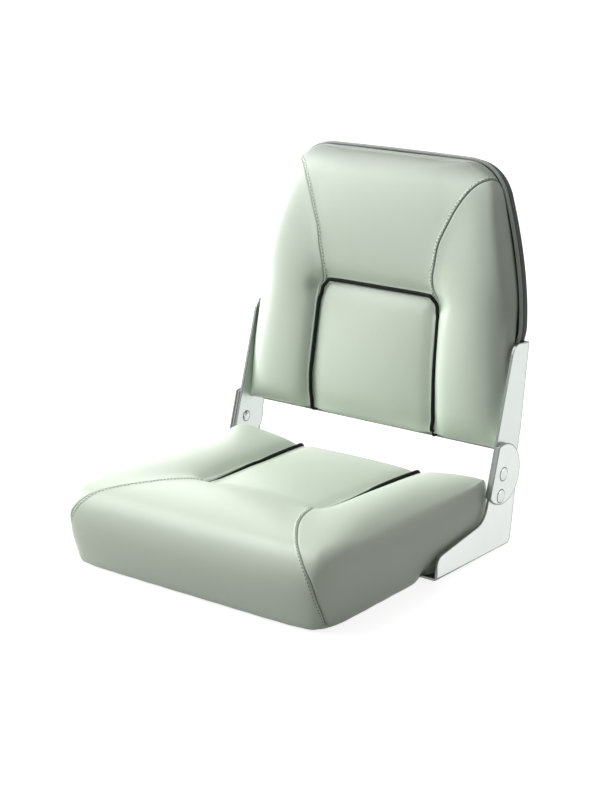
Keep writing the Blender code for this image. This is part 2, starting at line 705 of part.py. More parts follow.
def seat_cushion(collection, material):
    """The seat's pad: a grid for the top, rings down its sides and a flat base."""
    half = len(SEAT_COLUMN_SHARES)
    columns = 2 * half
    rows = len(SEAT_ROW_SHARES) - 1
    bm, places = grid_cage(columns, rows)
    seam_row = SEAT_ROW_SHARES.index(None)
    seam_rows = range(seam_row, rows + 1)
    cross_share = (SEAT_CROSS_SEAM_Y - SEAT_MID_Y) / SEAT_HALF_DEPTH

    def column_share(column, y):
        index = column - half
        if index == 0:
            return 0.0
        share = SEAT_COLUMN_SHARES[abs(index) - 1]
        if share is None:
            share = seat_seam_x(y) / (SEAT_HALF_WIDTH - SEAT_SIDE_INSET)
        return share if index > 0 else -share

    def plan(column, row, half_width, front_y, rear_y):
        t = cross_share if SEAT_ROW_SHARES[row] is None else SEAT_ROW_SHARES[row]
        s = column_share(column, SEAT_MID_Y + t * SEAT_HALF_DEPTH)
        if column in (0, columns) or row in (0, rows):
            s, t = squircle(s, t, SEAT_FRONT_SQUARENESS if t < 0 else SEAT_REAR_SQUARENESS)
        return s * half_width, mix(front_y, rear_y, (t + 1) / 2)

    def top(column, row):
        x, y = plan(column, row, SEAT_HALF_WIDTH - SEAT_SIDE_INSET, SEAT_FRONT_Y + SEAT_FRONT_INSET,
                    SEAT_REAR_Y - SEAT_REAR_INSET)
        z = seat_height(x, y)
        if column in (0, columns) or row == 0:
            z -= SEAT_RIM_DROP
        if in_seam(column, half, row, seam_row, seam_rows):
            z -= SEAM_DEPTH
        return x, y, z

    def shoulder(column, row):
        x, y = plan(column, row, SEAT_HALF_WIDTH, SEAT_FRONT_Y, SEAT_REAR_Y)
        drop = {0: SEAT_FRONT_DROP, rows: SEAT_REAR_DROP}.get(row, SEAT_SIDE_DROP)
        return x, y, seat_height(x, y) - drop

    def waist(column, row):
        x, y = plan(column, row, SEAT_HALF_WIDTH, SEAT_FRONT_Y, SEAT_REAR_Y)
        return x, y, SEAT_SIDE_Z

    def hem(column, row):
        x, y = plan(column, row, SEAT_BASE_HALF_WIDTH, SEAT_BASE_FRONT_Y, SEAT_BASE_REAR_Y)
        return x, y, SEAT_BOTTOM_Z

    for (column, row), vert in places.items():
        vert.co = top(column, row)
    key_of = {vert: key for key, vert in places.items()}
    crease_edges(bm, seam_edges(bm, key_of, half, seam_row, seam_rows))
    for placer in (shoulder, waist, hem):
        key_of.update(grow_ring(bm, key_of, placer))
    crease_edges(bm, rim_of(bm))
    return finish_pad("seat_cushion", bm, collection, material)


def seat_piping_path(side):
    """From the cross seam back along the groove, over the rear edge and down."""
    points = []
    rear = SEAT_REAR_Y - SEAT_REAR_INSET
    for step in range(SEAT_PIPING_STEPS + 1):
        y = mix(SEAT_CROSS_SEAM_Y, rear, step / SEAT_PIPING_STEPS)
        points.append((side * seat_seam_x(y), y, seat_seam_z(y) - SEAM_DEPTH + PIPING_RADIUS))
    low_z = points[-1][2] - SEAT_REAR_INSET
    turn = arc((rear, low_z), SEAT_REAR_INSET, pi / 2, 0, PROFILE_STEPS)
    points += [(side * SEAT_SEAM_REAR_X, y, z) for y, z in turn[1:]]
    for share in SEAT_PIPING_TAIL_SHARES:
        y = mix(SEAT_BASE_REAR_Y, SEAT_REAR_Y, share)
        points.append((side * SEAT_SEAM_REAR_X, y, mix(SEAT_BOTTOM_Z, low_z, share)))
    return points


# Seat board
def seat_board_outline(grow=0.0):
    half_width = SEAT_BASE_HALF_WIDTH - SEAT_BOARD_INSET + grow
    front = SEAT_BASE_FRONT_Y + SEAT_BOARD_INSET - grow
    rear = SEAT_BASE_REAR_Y - SEAT_BOARD_INSET + grow
    corners = [((-half_width, front), SEAT_BOARD_CORNER), ((half_width, front), SEAT_BOARD_CORNER),
               ((half_width, rear), SEAT_BOARD_CORNER), ((-half_width, rear), SEAT_BOARD_CORNER)]
    return rounded_outline(corners, PROFILE_STEPS)


def seat_board(collection, cutters, material):
    middle = SEAT_BOTTOM_Z + SEAT_BOARD_THICKNESS / 2
    board = flat_plate("seat_board", seat_board_outline(), SEAT_BOARD_THICKNESS, collection, material,
                       matrix=Matrix.Translation((0, 0, middle)))
    depth = SEAT_BOARD_THICKNESS + TOUCH_GAP + CUT_OVERRUN
    middle = SEAT_BOTTOM_Z + SEAT_BOARD_THICKNESS + TOUCH_GAP - depth / 2
    pocket = flat_plate("seat_board_pocket", seat_board_outline(TOUCH_GAP), depth, cutters,
                        matrix=Matrix.Translation((0, 0, middle)))
    return board, make_cutter(pocket)


def tee_nuts(collection, cutters, material):
    """Four threaded inserts let into the board's upper face, on the pedestal's pattern."""
    top = SEAT_BOTTOM_Z + SEAT_BOARD_THICKNESS
    mouth = SEAT_BOTTOM_Z + TEE_NUT_SUNK
    under = top - TEE_NUT_FLANGE
    body = [(TEE_NUT_BORE, top), (TEE_NUT_FLANGE_RADIUS, top), (TEE_NUT_FLANGE_RADIUS, under),
            (TEE_NUT_RADIUS, under), (TEE_NUT_RADIUS, mouth), (TEE_NUT_BORE, mouth),
            (TEE_NUT_BORE, top)]
    wide = TEE_NUT_FLANGE_RADIUS + TOUCH_GAP
    slim = TEE_NUT_RADIUS + TOUCH_GAP
    seat = [(0, top + CUT_OVERRUN), (wide, top + CUT_OVERRUN), (wide, under - TOUCH_GAP),
            (slim, under - TOUCH_GAP), (slim, SEAT_BOTTOM_Z - CUT_OVERRUN),
            (0, SEAT_BOTTOM_Z - CUT_OVERRUN)]
    holes = []
    for label, side in SIDES:
        for place, along in (("front", -1), ("rear", 1)):
            x = side * PATTERN_SIZE / 2
            y = PATTERN_Y + along * PATTERN_SIZE / 2
            matrix = Matrix.Translation((x, y, 0))
            turned(f"tee_nut_{place}_{label}", body, SMALL_STEPS, collection, material, None, matrix)
            holes.append(turned(f"tee_nut_seat_{place}_{label}", seat, SMALL_STEPS, cutters,
                                matrix=matrix))
    return make_cutter(joined("tee_nut_seats", holes, cutters, None))


# Back, in the frame of the hinge axis
def back_half_width(z):
    """Half the back's width at the piping plane, by height."""
    if z <= BACK_WIDEST_Z:
        share = (z - UPPER_ARM_TOP) / (BACK_WIDEST_Z - UPPER_ARM_TOP)
        return mix(BACK_LOW_HALF_WIDTH, BACK_HALF_WIDTH, smooth_share(share))
    share = (z - BACK_WIDEST_Z) / (BACK_SHOULDER_Z - BACK_WIDEST_Z)
    return mix(BACK_HALF_WIDTH, BACK_SHOULDER_HALF_WIDTH, share ** BACK_TAPER_POWER)


def back_outline():
    """The back's outline at the piping plane, anticlockwise from its lower left corner."""
    corner = BACK_EDGE_INSET
    sides = []
    for step in range(BACK_SIDE_STEPS + 1):
        z = mix(BACK_BOTTOM_Z + corner, BACK_SHOULDER_Z, step / BACK_SIDE_STEPS)
        sides.append((back_half_width(z), z))
    crown_z = BACK_TOP_Z - BACK_TOP_SAG
    start = Vector(sides[-1])
    control = Vector((BACK_SHOULDER_HALF_WIDTH - BACK_CORNER_LEAN, crown_z))
    end = Vector((BACK_CROWN_HALF_WIDTH, crown_z))
    shoulder = []
    for step in range(1, PROFILE_STEPS * 2):
        share = step / (PROFILE_STEPS * 2)
        first = start.lerp(control, share)
        shoulder.append(tuple(first.lerp(control.lerp(end, share), share)))
    top = []
    for share in (1.0, 0.5):
        x = BACK_CROWN_HALF_WIDTH * share
        top.append((x, BACK_TOP_Z - BACK_TOP_SAG * share ** 2))
    low = rounded_corner((0, BACK_BOTTOM_Z), (BACK_LOW_HALF_WIDTH, BACK_BOTTOM_Z), sides[0], corner,
                         PROFILE_STEPS)
    right = low + sides[1:] + shoulder + top
    left = [(-x, z) for x, z in reversed(right)]
    return right + [(0.0, BACK_TOP_Z)] + left


def panel_share(z):
    """How far up the centre panel a height lies, from 0 to 1."""
    return min(max((z - BACK_BOTTOM_Z) / (BACK_PANEL_TOP_Z - BACK_BOTTOM_Z), 0.0), 1.0)


def panel_x(z):
    """Half the centre panel's width, by height."""
    return mix(BACK_PANEL_LOW_X, BACK_PANEL_HIGH_X, panel_share(z))


def back_depth(x, z):
    """How far the back's front stands forward of the piping plane."""
    width = abs(x)
    inside = panel_share(z)
    seam = panel_x(z)
    groove = mix(BACK_PANEL_LOW_DEPTH, BACK_PANEL_HIGH_DEPTH, inside)
    bulge = 4 * inside * (1 - inside)
    panel = groove + BACK_PANEL_CROWN * bulge * (1 - min(width / seam, 1.0) ** 2)
    run = min(max((width - seam) / (BACK_BOLSTER_CREST_X - seam), 0.0), 1.0)
    bolster = mix(groove, BACK_BOLSTER_DEPTH, 1 - (1 - run) ** 2)
    depth = panel if width <= seam else bolster
    if z > BACK_PANEL_TOP_Z:
        rise = min((z - BACK_PANEL_TOP_Z) / (BACK_HEAD_CREST_Z - BACK_PANEL_TOP_Z), 1.0)
        depth = mix(depth, BACK_HEAD_DEPTH, 1 - (1 - rise) ** 2)
        past = max(z - BACK_HEAD_CREST_Z, 0.0) / (BACK_TOP_Z - BACK_HEAD_CREST_Z)
        depth -= BACK_HEAD_FALL * past ** BACK_HEAD_FALL_POWER
    thin = 1 - smooth_share((z - BACK_BOTTOM_Z) / BACK_LOW_TAPER)
    return depth - BACK_LOW_THINNING * thin


def rounded_half_width(z):
    """The outline's half width, also in its round shoulders."""
    if z <= BACK_SHOULDER_Z:
        return back_half_width(z)
    crown_z = BACK_TOP_Z - BACK_TOP_SAG
    share = min((z - BACK_SHOULDER_Z) / (crown_z - BACK_SHOULDER_Z), 1.0)
    round_share = 1 - (1 - share ** 2) ** (1 / 2)
    return mix(BACK_SHOULDER_HALF_WIDTH, BACK_CROWN_HALF_WIDTH + BACK_EDGE_INSET, round_share)


def side_lean(z):
    """How far in from the outline the pad's side has come where it meets the front."""
    bulge = BACK_BULGE * (1 - smooth_share((z - BACK_SLOPE_START_Z) /
                                           (BACK_BULGE_END_Z - BACK_SLOPE_START_Z)))
    lower = smooth_share((z - BACK_SLOPE_START_Z) / (BACK_SLOPE_FULL_Z - BACK_SLOPE_START_Z))
    upper = smooth_share((z - BACK_SLOPE_FULL_Z) / (BACK_TOP_Z - BACK_SLOPE_FULL_Z))
    return BACK_SLOPE * lower + (BACK_SLOPE_TOP - BACK_SLOPE) * upper - bulge


def back_cushion(collection, material, parent):
    """The back's pad: a grid for the front, rings round its edge and a flat rear face."""
    half = len(BACK_COLUMN_SHARES)
    columns = 2 * half
    rows = len(BACK_ROW_SHARES) - 1
    bm, places = grid_cage(columns, rows)
    seam_row = BACK_ROW_SHARES.index(None)
    seam_rows = range(seam_row + 1)

    def plan(column, row, inset, lean_share):
        share = panel_top_share if BACK_ROW_SHARES[row] is None else BACK_ROW_SHARES[row]
        z = mix(BACK_BOTTOM_Z + inset, BACK_TOP_Z - inset, share)
        index = column - half
        if index == 0:
            return 0.0, z
        width = rounded_half_width(z) - inset - side_lean(z) * lean_share
        share = BACK_COLUMN_SHARES[abs(index) - 1]
        if share is None:
            share = min(panel_x(z) / width, BACK_SEAM_TOP_SHARE)
        x = share * width
        if row == 0 and abs(index) == half:
            x -= BACK_LOW_CORNER
            z += BACK_LOW_CORNER
        return (x if index > 0 else -x), z

    def front(column, row):
        x, z = plan(column, row, BACK_EDGE_INSET, 1.0)
        depth = back_depth(x, z)
        if column in (0, columns) or row in (0, rows):
            depth -= BACK_RIM_DROP
        if in_seam(column, half, row, seam_row, seam_rows):
            depth -= SEAM_DEPTH
        return x, BACK_PIPING_Y - depth, z

    def shoulder(column, row):
        x, z = plan(column, row, 0.0, 1.0)
        depth = max(back_depth(x, z) - BACK_SHOULDER_DROP, BACK_SIDE_DEPTH)
        return x, BACK_PIPING_Y - depth, z

    def waist(column, row):
        x, z = plan(column, row, 0.0, BACK_WAIST_LEAN_SHARE)
        return x, BACK_PIPING_Y - BACK_SIDE_DEPTH / 2, z

    def hem(column, row):
        x, z = plan(column, row, PIPING_RADIUS / 2, 0.0)
        return x, BACK_PIPING_Y, z

    panel_top_share = (BACK_PANEL_TOP_Z - BACK_BOTTOM_Z) / (BACK_TOP_Z - BACK_BOTTOM_Z)
    for (column, row), vert in places.items():
        vert.co = front(column, row)
    key_of = {vert: key for key, vert in places.items()}
    crease_edges(bm, seam_edges(bm, key_of, half, seam_row, seam_rows))
    for placer in (shoulder, waist, hem):
        key_of.update(grow_ring(bm, key_of, placer))
    crease_edges(bm, rim_of(bm))
    return finish_pad("back_cushion", bm, collection, material, parent)


def back_panel_path():
    """The piping round the back's centre panel, from one lower end to the other."""
    low = BACK_BOTTOM_Z + BACK_EDGE_INSET
    high = BACK_PANEL_TOP_Z - BACK_PANEL_CORNER
    heights = [mix(low, high, step / BACK_PANEL_STEPS) for step in range(BACK_PANEL_STEPS + 1)]
    rise = [(panel_x(z), z) for z in heights]
    corner = arc((panel_x(high) - BACK_PANEL_CORNER, high), BACK_PANEL_CORNER, 0, pi / 2,
                 PROFILE_STEPS)
    right = rise + corner[1:]
    half = [(x, BACK_PIPING_Y - back_depth(x, z) + SEAM_DEPTH - PIPING_RADIUS, z) for x, z in right]
    x, y, z = half[0]
    under = BACK_BOTTOM_Z + TOUCH_GAP
    share = BACK_PANEL_TAIL_SHARE
    half = [(x, y + BACK_EDGE_INSET, under), (x, y + BACK_EDGE_INSET * share, mix(under, z, share))] + half
    left = [(-x, y, z) for x, y, z in half]
    return half + left[::-1]


def build():
    clear_scene()
    parts = new_collection(MODEL)
    cutters = new_collection(MODEL + "_cutters")
    vinyl = new_material("seat_vinyl", (0.62, 0.67, 0.60), 0.42)
    back_vinyl = new_material("back_vinyl", (0.60, 0.65, 0.58), 0.42)
    dark_piping = new_material("dark_piping", (0.03, 0.045, 0.03), 0.4)
    light_piping = new_material("light_piping", (0.45, 0.50, 0.45), 0.4)
    rear_vinyl = new_material("rear_vinyl", (0.13, 0.145, 0.13), 0.5)
    ply = new_material("board", (0.42, 0.28, 0.15), 0.7)
    metal = new_material("hinge_metal", (0.80, 0.83, 0.81), 0.32, 1.0)
    rivet_metal = new_material("rivet_metal", (0.78, 0.80, 0.79), 0.28, 1.0)
    screw_metal = new_material("screw_metal", (0.62, 0.63, 0.63), 0.3, 1.0)
    nylon = new_material("bush_nylon", (0.75, 0.75, 0.72), 0.5)

    axis = bpy.data.objects.new("back_hinge_axis", None)
    parts.objects.link(axis)
    axis.location = (0, PIVOT_Y, PIVOT_Z)
    axis.rotation_euler = (-BACK_TILT, 0, 0)

    seat = seat_cushion(parts, vinyl)
    board, pocket = seat_board(parts, cutters, ply)
    cut(seat, pocket)
    cut(board, tee_nuts(parts, cutters, screw_metal))
    for label, side in SIDES:
        path = seat_piping_path(side)
        tube("seat_piping_" + label, path, PIPING_RADIUS, parts, dark_piping)
        channel = tube("seat_channel_" + label, path, PIPING_RADIUS + TOUCH_GAP, cutters)
        cut(seat, make_cutter(channel))

    pad = back_cushion(parts, back_vinyl, axis)
    path = back_panel_path()
    tube("back_centre_piping", path, PIPING_RADIUS, parts, dark_piping, axis)
    channel = tube("back_channel", path, PIPING_RADIUS + TOUCH_GAP, cutters, parent=axis)
    cut(pad, make_cutter(channel))

    rim = back_outline()
    edge = [(x, BACK_PIPING_Y, z) for x, z in rim]
    tube("back_perimeter_piping", edge, PIPING_RADIUS, parts, light_piping, axis, cyclic=True, sides=1)
    groove = tube("back_rim_groove", edge, PIPING_RADIUS + TOUCH_GAP, cutters, parent=axis,
                  cyclic=True, sides=1)
    cut(pad, make_cutter(groove))

    facing = Matrix(((1, 0, 0, 0), (0, 0, -1, 0), (0, 1, 0, 0), (0, 0, 0, 1)))
    depth = BACK_BAND_DEPTH - TOUCH_GAP
    centre = BACK_PIPING_Y + TOUCH_GAP + depth / 2
    cover = flat_plate("back_rear_cover", rim, depth, parts, rear_vinyl, axis,
                       Matrix.Translation((0, centre, 0)) @ facing)
    round_edge = cover.modifiers.new("round", "BEVEL")
    round_edge.width = BACK_BAND_EDGE
    round_edge.segments = 2
    round_edge.limit_method = "ANGLE"
    round_edge.angle_limit = SHARP_ANGLE
    cut(cover, groove)
    pocket_depth = TOUCH_GAP + BACK_BOARD_THICKNESS + TOUCH_GAP + CUT_OVERRUN
    pocket_front = BACK_PIPING_Y - CUT_OVERRUN
    pocket = flat_plate("back_board_pocket", inset_outline(rim, BACK_BOARD_INSET - TOUCH_GAP),
                        pocket_depth, cutters, None, axis,
                        Matrix.Translation((0, pocket_front + pocket_depth / 2, 0)) @ facing)
    cut(cover, make_cutter(pocket))
    centre = BACK_PIPING_Y + TOUCH_GAP + BACK_BOARD_THICKNESS / 2
    back_board = flat_plate("back_board", inset_outline(rim, BACK_BOARD_INSET), BACK_BOARD_THICKNESS,
                            parts, ply, axis, Matrix.Translation((0, centre, 0)) @ facing)

    guide = Matrix.Rotation(BACK_TILT - GUIDE_LEAD, 2) @ Vector((0, -GUIDE_RADIUS))
    pin_places = (("pivot", 0.0, 0.0), ("guide", guide.x, guide.y))
    chord = (CHEEK_RADIUS ** 2 - CHEEK_CHORD ** 2) ** (1 / 2)
    start = pi - ARM_SLOPE + atan2(chord, CHEEK_CHORD)
    end = 3 * pi - ARM_SLOPE - atan2(chord, CHEEK_CHORD)
    cheek_outline = arc((0, 0), CHEEK_RADIUS, start, end, ROUND_STEPS * 2)
    bore_radius = PIN_RADIUS + RUNNING_GAP
    sleeve = [(bore_radius, LOWER_OUTER_X), (BUSH_RADIUS, LOWER_OUTER_X),
              (BUSH_RADIUS, LOWER_INNER_X), (bore_radius, LOWER_INNER_X),
              (bore_radius, LOWER_OUTER_X)]

    for label, side in SIDES:
        outline, flange_edge = upper_arm_outline()
        upper = bent_sheet("upper_arm_" + label, side, UPPER_OUTER_X, outline, flange_edge,
                           UPPER_FLANGE_WIDTH, parts, metal, axis)
        lower = bent_sheet("lower_arm_" + label, side, LOWER_OUTER_X, lower_arm_outline(), 0,
                           LOWER_FLANGE_WIDTH, parts, metal)
        cut(lower, slot_cutter("guide_slot_" + label, side, cutters))
        cut(lower, pin_cutter("bush_bore_" + label, side, LOWER_INNER_X, LOWER_OUTER_X,
                              BUSH_RADIUS + TOUCH_GAP, PIVOT_Y, PIVOT_Z, cutters))
        middle = (CHEEK_INNER_X + CHEEK_OUTER_X) / 2
        cheek = flat_plate("hinge_cheek_" + label, cheek_outline, CHEEK_PLATE, parts, metal, axis,
                           side_plane(side * middle))
        soften = cheek.modifiers.new("edge", "BEVEL")
        soften.width = CHEEK_EDGE
        soften.segments = 1
        soften.limit_method = "ANGLE"
        soften.angle_limit = SHARP_ANGLE
        for kind, y, z in pin_places:
            rivet(f"{kind}_rivet_{label}", side, y, z, parts, rivet_metal, axis)
            hole = pin_cutter(f"{kind}_hole_{label}", side, UPPER_INNER_X, CHEEK_OUTER_X,
                              bore_radius, y, z, cutters, axis)
            cut(upper, hole)
            cut(cheek, hole)
        turned("pivot_bush_" + label, sleeve, ROUND_STEPS, parts, nylon, None,
               along_x(0, PIVOT_Y, PIVOT_Z, side))

        screw_x = side * (LOWER_OUTER_X - LOWER_FLANGE_WIDTH + SCREW_EDGE)
        down = Matrix.Rotation(pi, 4, "X")
        places = [Matrix.Translation((screw_x, y, TOUCH_GAP)) @ down
                  for y in screw_places(LOWER_FOOT_FRONT_Y, LOWER_FOOT_REAR_Y)]
        holes = screw_row("lower_arm_screw_" + label, places, SEAT_SCREW_LENGTH,
                          SUNK_HEAD_HEIGHT, True, parts, cutters, screw_metal, None)
        cut(lower, holes)
        cut(board, holes)
        screw_x = side * (UPPER_OUTER_X - UPPER_FLANGE_WIDTH + SCREW_EDGE)
        rearward = Matrix.Rotation(-pi / 2, 4, "X")
        places = [Matrix.Translation((screw_x, UPPER_FLANGE_Y, z)) @ rearward
                  for z in screw_places(UPPER_FLANGE_FOOT, UPPER_ARM_TOP)]
        holes = screw_row("upper_arm_screw_" + label, places, BACK_SCREW_LENGTH,
                          DOME_HEAD_HEIGHT, False, parts, cutters, screw_metal, axis)
        for item in (upper, cover, back_board):
            cut(item, holes)


build()
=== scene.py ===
"""Looks of a folding boat seat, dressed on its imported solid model."""
from math import cos, pi, radians, sin

import bmesh
import bpy
import numpy as np
from mathutils import Matrix, Vector
from mathutils.bvhtree import BVHTree
from mathutils.kdtree import KDTree


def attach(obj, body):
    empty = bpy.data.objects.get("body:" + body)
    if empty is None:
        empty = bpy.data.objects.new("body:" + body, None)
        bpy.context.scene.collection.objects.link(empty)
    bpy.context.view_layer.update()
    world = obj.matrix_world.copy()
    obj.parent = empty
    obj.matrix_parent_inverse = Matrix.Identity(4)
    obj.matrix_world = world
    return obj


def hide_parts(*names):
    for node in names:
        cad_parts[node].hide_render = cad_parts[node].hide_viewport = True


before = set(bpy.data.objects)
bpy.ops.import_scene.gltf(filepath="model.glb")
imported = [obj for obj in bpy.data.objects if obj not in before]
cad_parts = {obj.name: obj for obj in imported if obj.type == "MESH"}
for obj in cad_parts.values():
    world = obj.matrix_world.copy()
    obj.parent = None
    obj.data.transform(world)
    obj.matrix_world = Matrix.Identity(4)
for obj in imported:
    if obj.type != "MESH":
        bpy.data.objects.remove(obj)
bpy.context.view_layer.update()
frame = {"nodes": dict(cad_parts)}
nodes = frame["nodes"]

# Camera, as the photograph was taken
CAMERA_PLACE = (1.39473387, -1.869447, 0.89131683)
CAMERA_AZIMUTH = radians(37.2609)
CAMERA_ELEVATION = radians(15.6878)
FRAME_HEIGHT = 800
FOCAL_PIXELS = 1931.979
SENSOR = 36
SHIFT_X = 14.8905 / FRAME_HEIGHT
SHIFT_Y = -33.168 / FRAME_HEIGHT

# Hinge
PIVOT = Vector((0, 0.142, 0.0995))
BACK_TILT = radians(7.5)
BACK_FRAME = Matrix.Translation(PIVOT) @ Matrix.Rotation(-BACK_TILT, 4, "X")
GUIDE_Y = 0.1365
GUIDE_Z = 0.0715
HEAD_RADIUS = 0.00825

# Seat pad, near the solid's own sizes
SEAT_FRONT_Y = -0.238
SEAT_REAR_Y = 0.1315
SEAT_HALF_WIDTH = 0.2022
SEAT_BASE_HALF_WIDTH = 0.1965
SEAT_BASE_FRONT_Y = -0.2275
SEAT_BASE_REAR_Y = 0.126
SEAT_BOTTOM_Z = 0.0033
SEAT_CENTRE_REAR_Z = 0.0883
SEAT_CENTRE_FRONT_Z = 0.092
SEAT_BOLSTER_REAR_Z = 0.099
SEAT_BOLSTER_FRONT_Z = 0.106
SEAT_BOLSTER_RISE_SHARE = 0.5
SEAT_NOSE_Z = 0.1065
SEAT_CENTRE_CROWN = 0.0045
SEAT_CROWN_FADE_SHARE = 0.2
SEAT_SEAM_REAR_X = 0.0942
SEAT_SEAM_FRONT_X = 0.087
SEAT_CROSS_SEAM_Y = -0.083
SEAT_BOLSTER_CREST_X = 0.162
SEAT_REAR_CREST_X = 0.190         # at the rear the bolsters rise straight to here
SEAT_REAR_BEND_SHARE = 0.40
SEAT_REAR_SIDE_DROP = 0.006
SEAT_REAR_SIDE_INSET = 0.004
SEAT_NOSE_CREST_Y = -0.166
SEAT_SIDE_FALL = 0.0045
SEAT_NOSE_FALL = 0.0055
SEAT_RIM_DROP = 0.0035
SEAT_SIDE_Z = 0.052
SEAT_SIDE_INSET = 0.009
SEAT_FRONT_INSET = 0.014
SEAT_REAR_INSET = 0.008
SEAT_SIDE_DROP = 0.014
SEAT_FRONT_DROP = 0.022
SEAT_FRONT_SQUARENESS = 18
SEAT_REAR_SQUARENESS = 34
SEAT_SEAM_TOP_Z = 0.09
SEAT_REAR_SEAM = ((0.1305, 0.078), (0.1315, 0.065), (0.130, 0.045), (0.128, 0.018))
SEAT_SEAM_MARKS = 12
CROSS_SEAM_HALF_WIDTH = 0.086
CROSS_SEAM_Z = 0.093
CROSS_SEAM_MARKS = 9
BASE_RING_STEPS = 90
SEAT_MID_Y = (SEAT_FRONT_Y + SEAT_REAR_Y) / 2
SEAT_HALF_DEPTH = (SEAT_REAR_Y - SEAT_FRONT_Y) / 2

# Back pad, in the back's own frame, with depths forward of its piping
BACK_PIPING_Y = 0.0219
BACK_BOTTOM_Z = 0.0265
BACK_TOP_Z = 0.3890
BACK_WIDEST_Z = 0.180
BACK_HALF_WIDTH = 0.2030
BACK_LOW_HALF_WIDTH = 0.1998
UPPER_ARM_TOP = 0.166
BACK_SHOULDER_Z = 0.340
BACK_SHOULDER_HALF_WIDTH = 0.1670
BACK_TAPER_POWER = 1.65
BACK_CROWN_HALF_WIDTH = 0.104
BACK_CAGE_CROWN_HALF_WIDTH = 0.125    # the cage's own corner, which smoothing draws in
BACK_CORNER_LEAN = 0.0152
BACK_TOP_SAG = 0.0008
BACK_BAND_DEPTH = 0.0206
BACK_BOARD_THICKNESS = 0.012
BACK_BOARD_INSET = 0.006
BACK_PANEL_LOW_DEPTH = 0.032
BACK_PANEL_HIGH_DEPTH = 0.0285
BACK_PANEL_CROWN = 0.0045
BACK_PANEL_TOP_Z = 0.207
BACK_PANEL_LOW_X = 0.0965
BACK_PANEL_HIGH_X = 0.0905
BACK_PANEL_CORNER = 0.014
BACK_BOLSTER_DEPTH = 0.0403
BACK_BOLSTER_CREST_X = 0.134
BACK_BOLSTER_FALL = 0.009
BACK_HEAD_DEPTH = 0.0425
BACK_HEAD_CREST_Z = 0.275
BACK_HEAD_FALL = 0.019
BACK_HEAD_FALL_POWER = 2.4
BACK_EDGE_INSET = 0.012
BACK_RIM_DROP = 0.0044
BACK_SHOULDER_DROP = 0.0110
BACK_SIDE_DEPTH = 0.019
BACK_SLOPE_START_Z = 0.105
BACK_SLOPE_FULL_Z = 0.215
BACK_SLOPE = 0.0050
BACK_SLOPE_TOP = 0.0035
BACK_WAIST_LEAN_SHARE = 0.45
BACK_TUCK_LEAN_SHARE = 0.12
BACK_TUCK_DEPTH = 0.0042
BACK_TUCK_INSET = 0.0032
BACK_TOP_DROP = 0.002
BACK_BULGE = 0.0046
BACK_BULGE_END_Z = 0.165
BACK_LOW_CORNER = -0.0020
BACK_LOW_TAPER = 0.060
BACK_LOW_THINNING = 0.010
PANEL_SEAM_RISE = 0.0036          # where the panel's seam leaves the lower edge
PANEL_UNDER_DEPTHS = (0.005, 0.012)
TOUCH_GAP = 0.0003
BASE_ROUND = 0.0025               # of the vinyl round the seat's lower edge

# Cage lines from the middle out, as shares of a half width, with the seam's own line as None
SEAT_COLUMN_SHARES = (0.25, None, 0.64, 0.90, 1.0)
BACK_COLUMN_SHARES = (0.25, None, 0.60, 0.87, 1.0)
SEAT_ROW_SHARES = (-1.0, -0.85, -0.60, -0.36, None, 0.12, 0.50, 0.92, 1.0)
BACK_ROW_SHARES = (0.0, 0.055, 0.20, 0.36, None, 0.58, 0.72, 0.85, 0.94, 1.0)
BACK_SEAM_TOP_SHARE = 0.60
SEAM_COLUMN = 2
SEAM_DEPTH = 0.0035
CORNER_CREASE = 0.5               # of the seat's rear corners and the back's lower ones

# Seams that run over the pads, as points on the right-hand side
NOSE_SEAM = ((0.0870, -0.0830, 0.0920), (0.0905, -0.0960, 0.0965), (0.1030, -0.1300, 0.1050),
             (0.1190, -0.1650, 0.1060), (0.1380, -0.1940, 0.1040), (0.1540, -0.2140, 0.0980),
             (0.1660, -0.2240, 0.0900), (0.1760, -0.2300, 0.0800), (0.1840, -0.2330, 0.0680),
             (0.1890, -0.2320, 0.0560), (0.1920, -0.2260, 0.0400), (0.1940, -0.2180, 0.0240),
             (0.1950, -0.2090, 0.0050))
HEAD_SEAM = ((0.0895, 0.1610, 0.3010), (0.0880, 0.1620, 0.3080), (0.0870, 0.1590, 0.3300),
             (0.0910, 0.1570, 0.3550), (0.0950, 0.1600, 0.3780), (0.1040, 0.1650, 0.4000),
             (0.1130, 0.1720, 0.4200), (0.1240, 0.1800, 0.4390), (0.1370, 0.1910, 0.4540),
             (0.1530, 0.2110, 0.4560))

# Sewing
PIPING_RADIUS = 0.0024
PIPING_LOW_SHARE = 0.5            # of its radius, from the seam's floor to the cord's centre
PIPING_HIGH_SHARE = 1.2
PANEL_PIPING_RISE_LENGTH = 0.15
SEAT_PIPING_RISE_SHARE = 0.9
SEAT_PIPING_SINK_SHARE = -0.9     # where it dives under the cover at the cross seam
SEAT_PIPING_SINK_LENGTH = 0.15
SEAM_STEP = 0.001
PIPING_STRIDE = 6                 # seam steps between the points that a cord follows
RELAY_STRIDE = 8                  # and between those of a seam that is laid again
CORD_STEP = 0.002
CURVE_PARTS = 12
STITCH_PITCH = 0.0047
STITCH_LENGTH = 0.0027
STITCH_RADIUS = 0.00045
STITCH_OFFSET = 0.0050
STITCH_LIFT_SHARE = 0.35
WELT_WIDTH = 0.0085
WELT_HEIGHT = 0.0010
WELT_SHARPNESS = 10
ROW_DEPTH = 0.0002                # the row of stitches pulls the cover down
ROW_WIDTH = 0.0012
GROOVE_DEPTH = 0.0016
GROOVE_WIDTH = 0.0010
VALLEY_DEPTH = 0.0010
VALLEY_WIDTH = 0.0080
PIPED_VALLEY_DEPTH = 0.0042
PIPED_VALLEY_WIDTH = 0.012
DEEP_GROOVE_Z = 0.080             # below this height the nose seams open into a wider groove
DEEP_GROOVE_FADE = 0.020
DEEP_GROOVE_GROWTH = 1.4
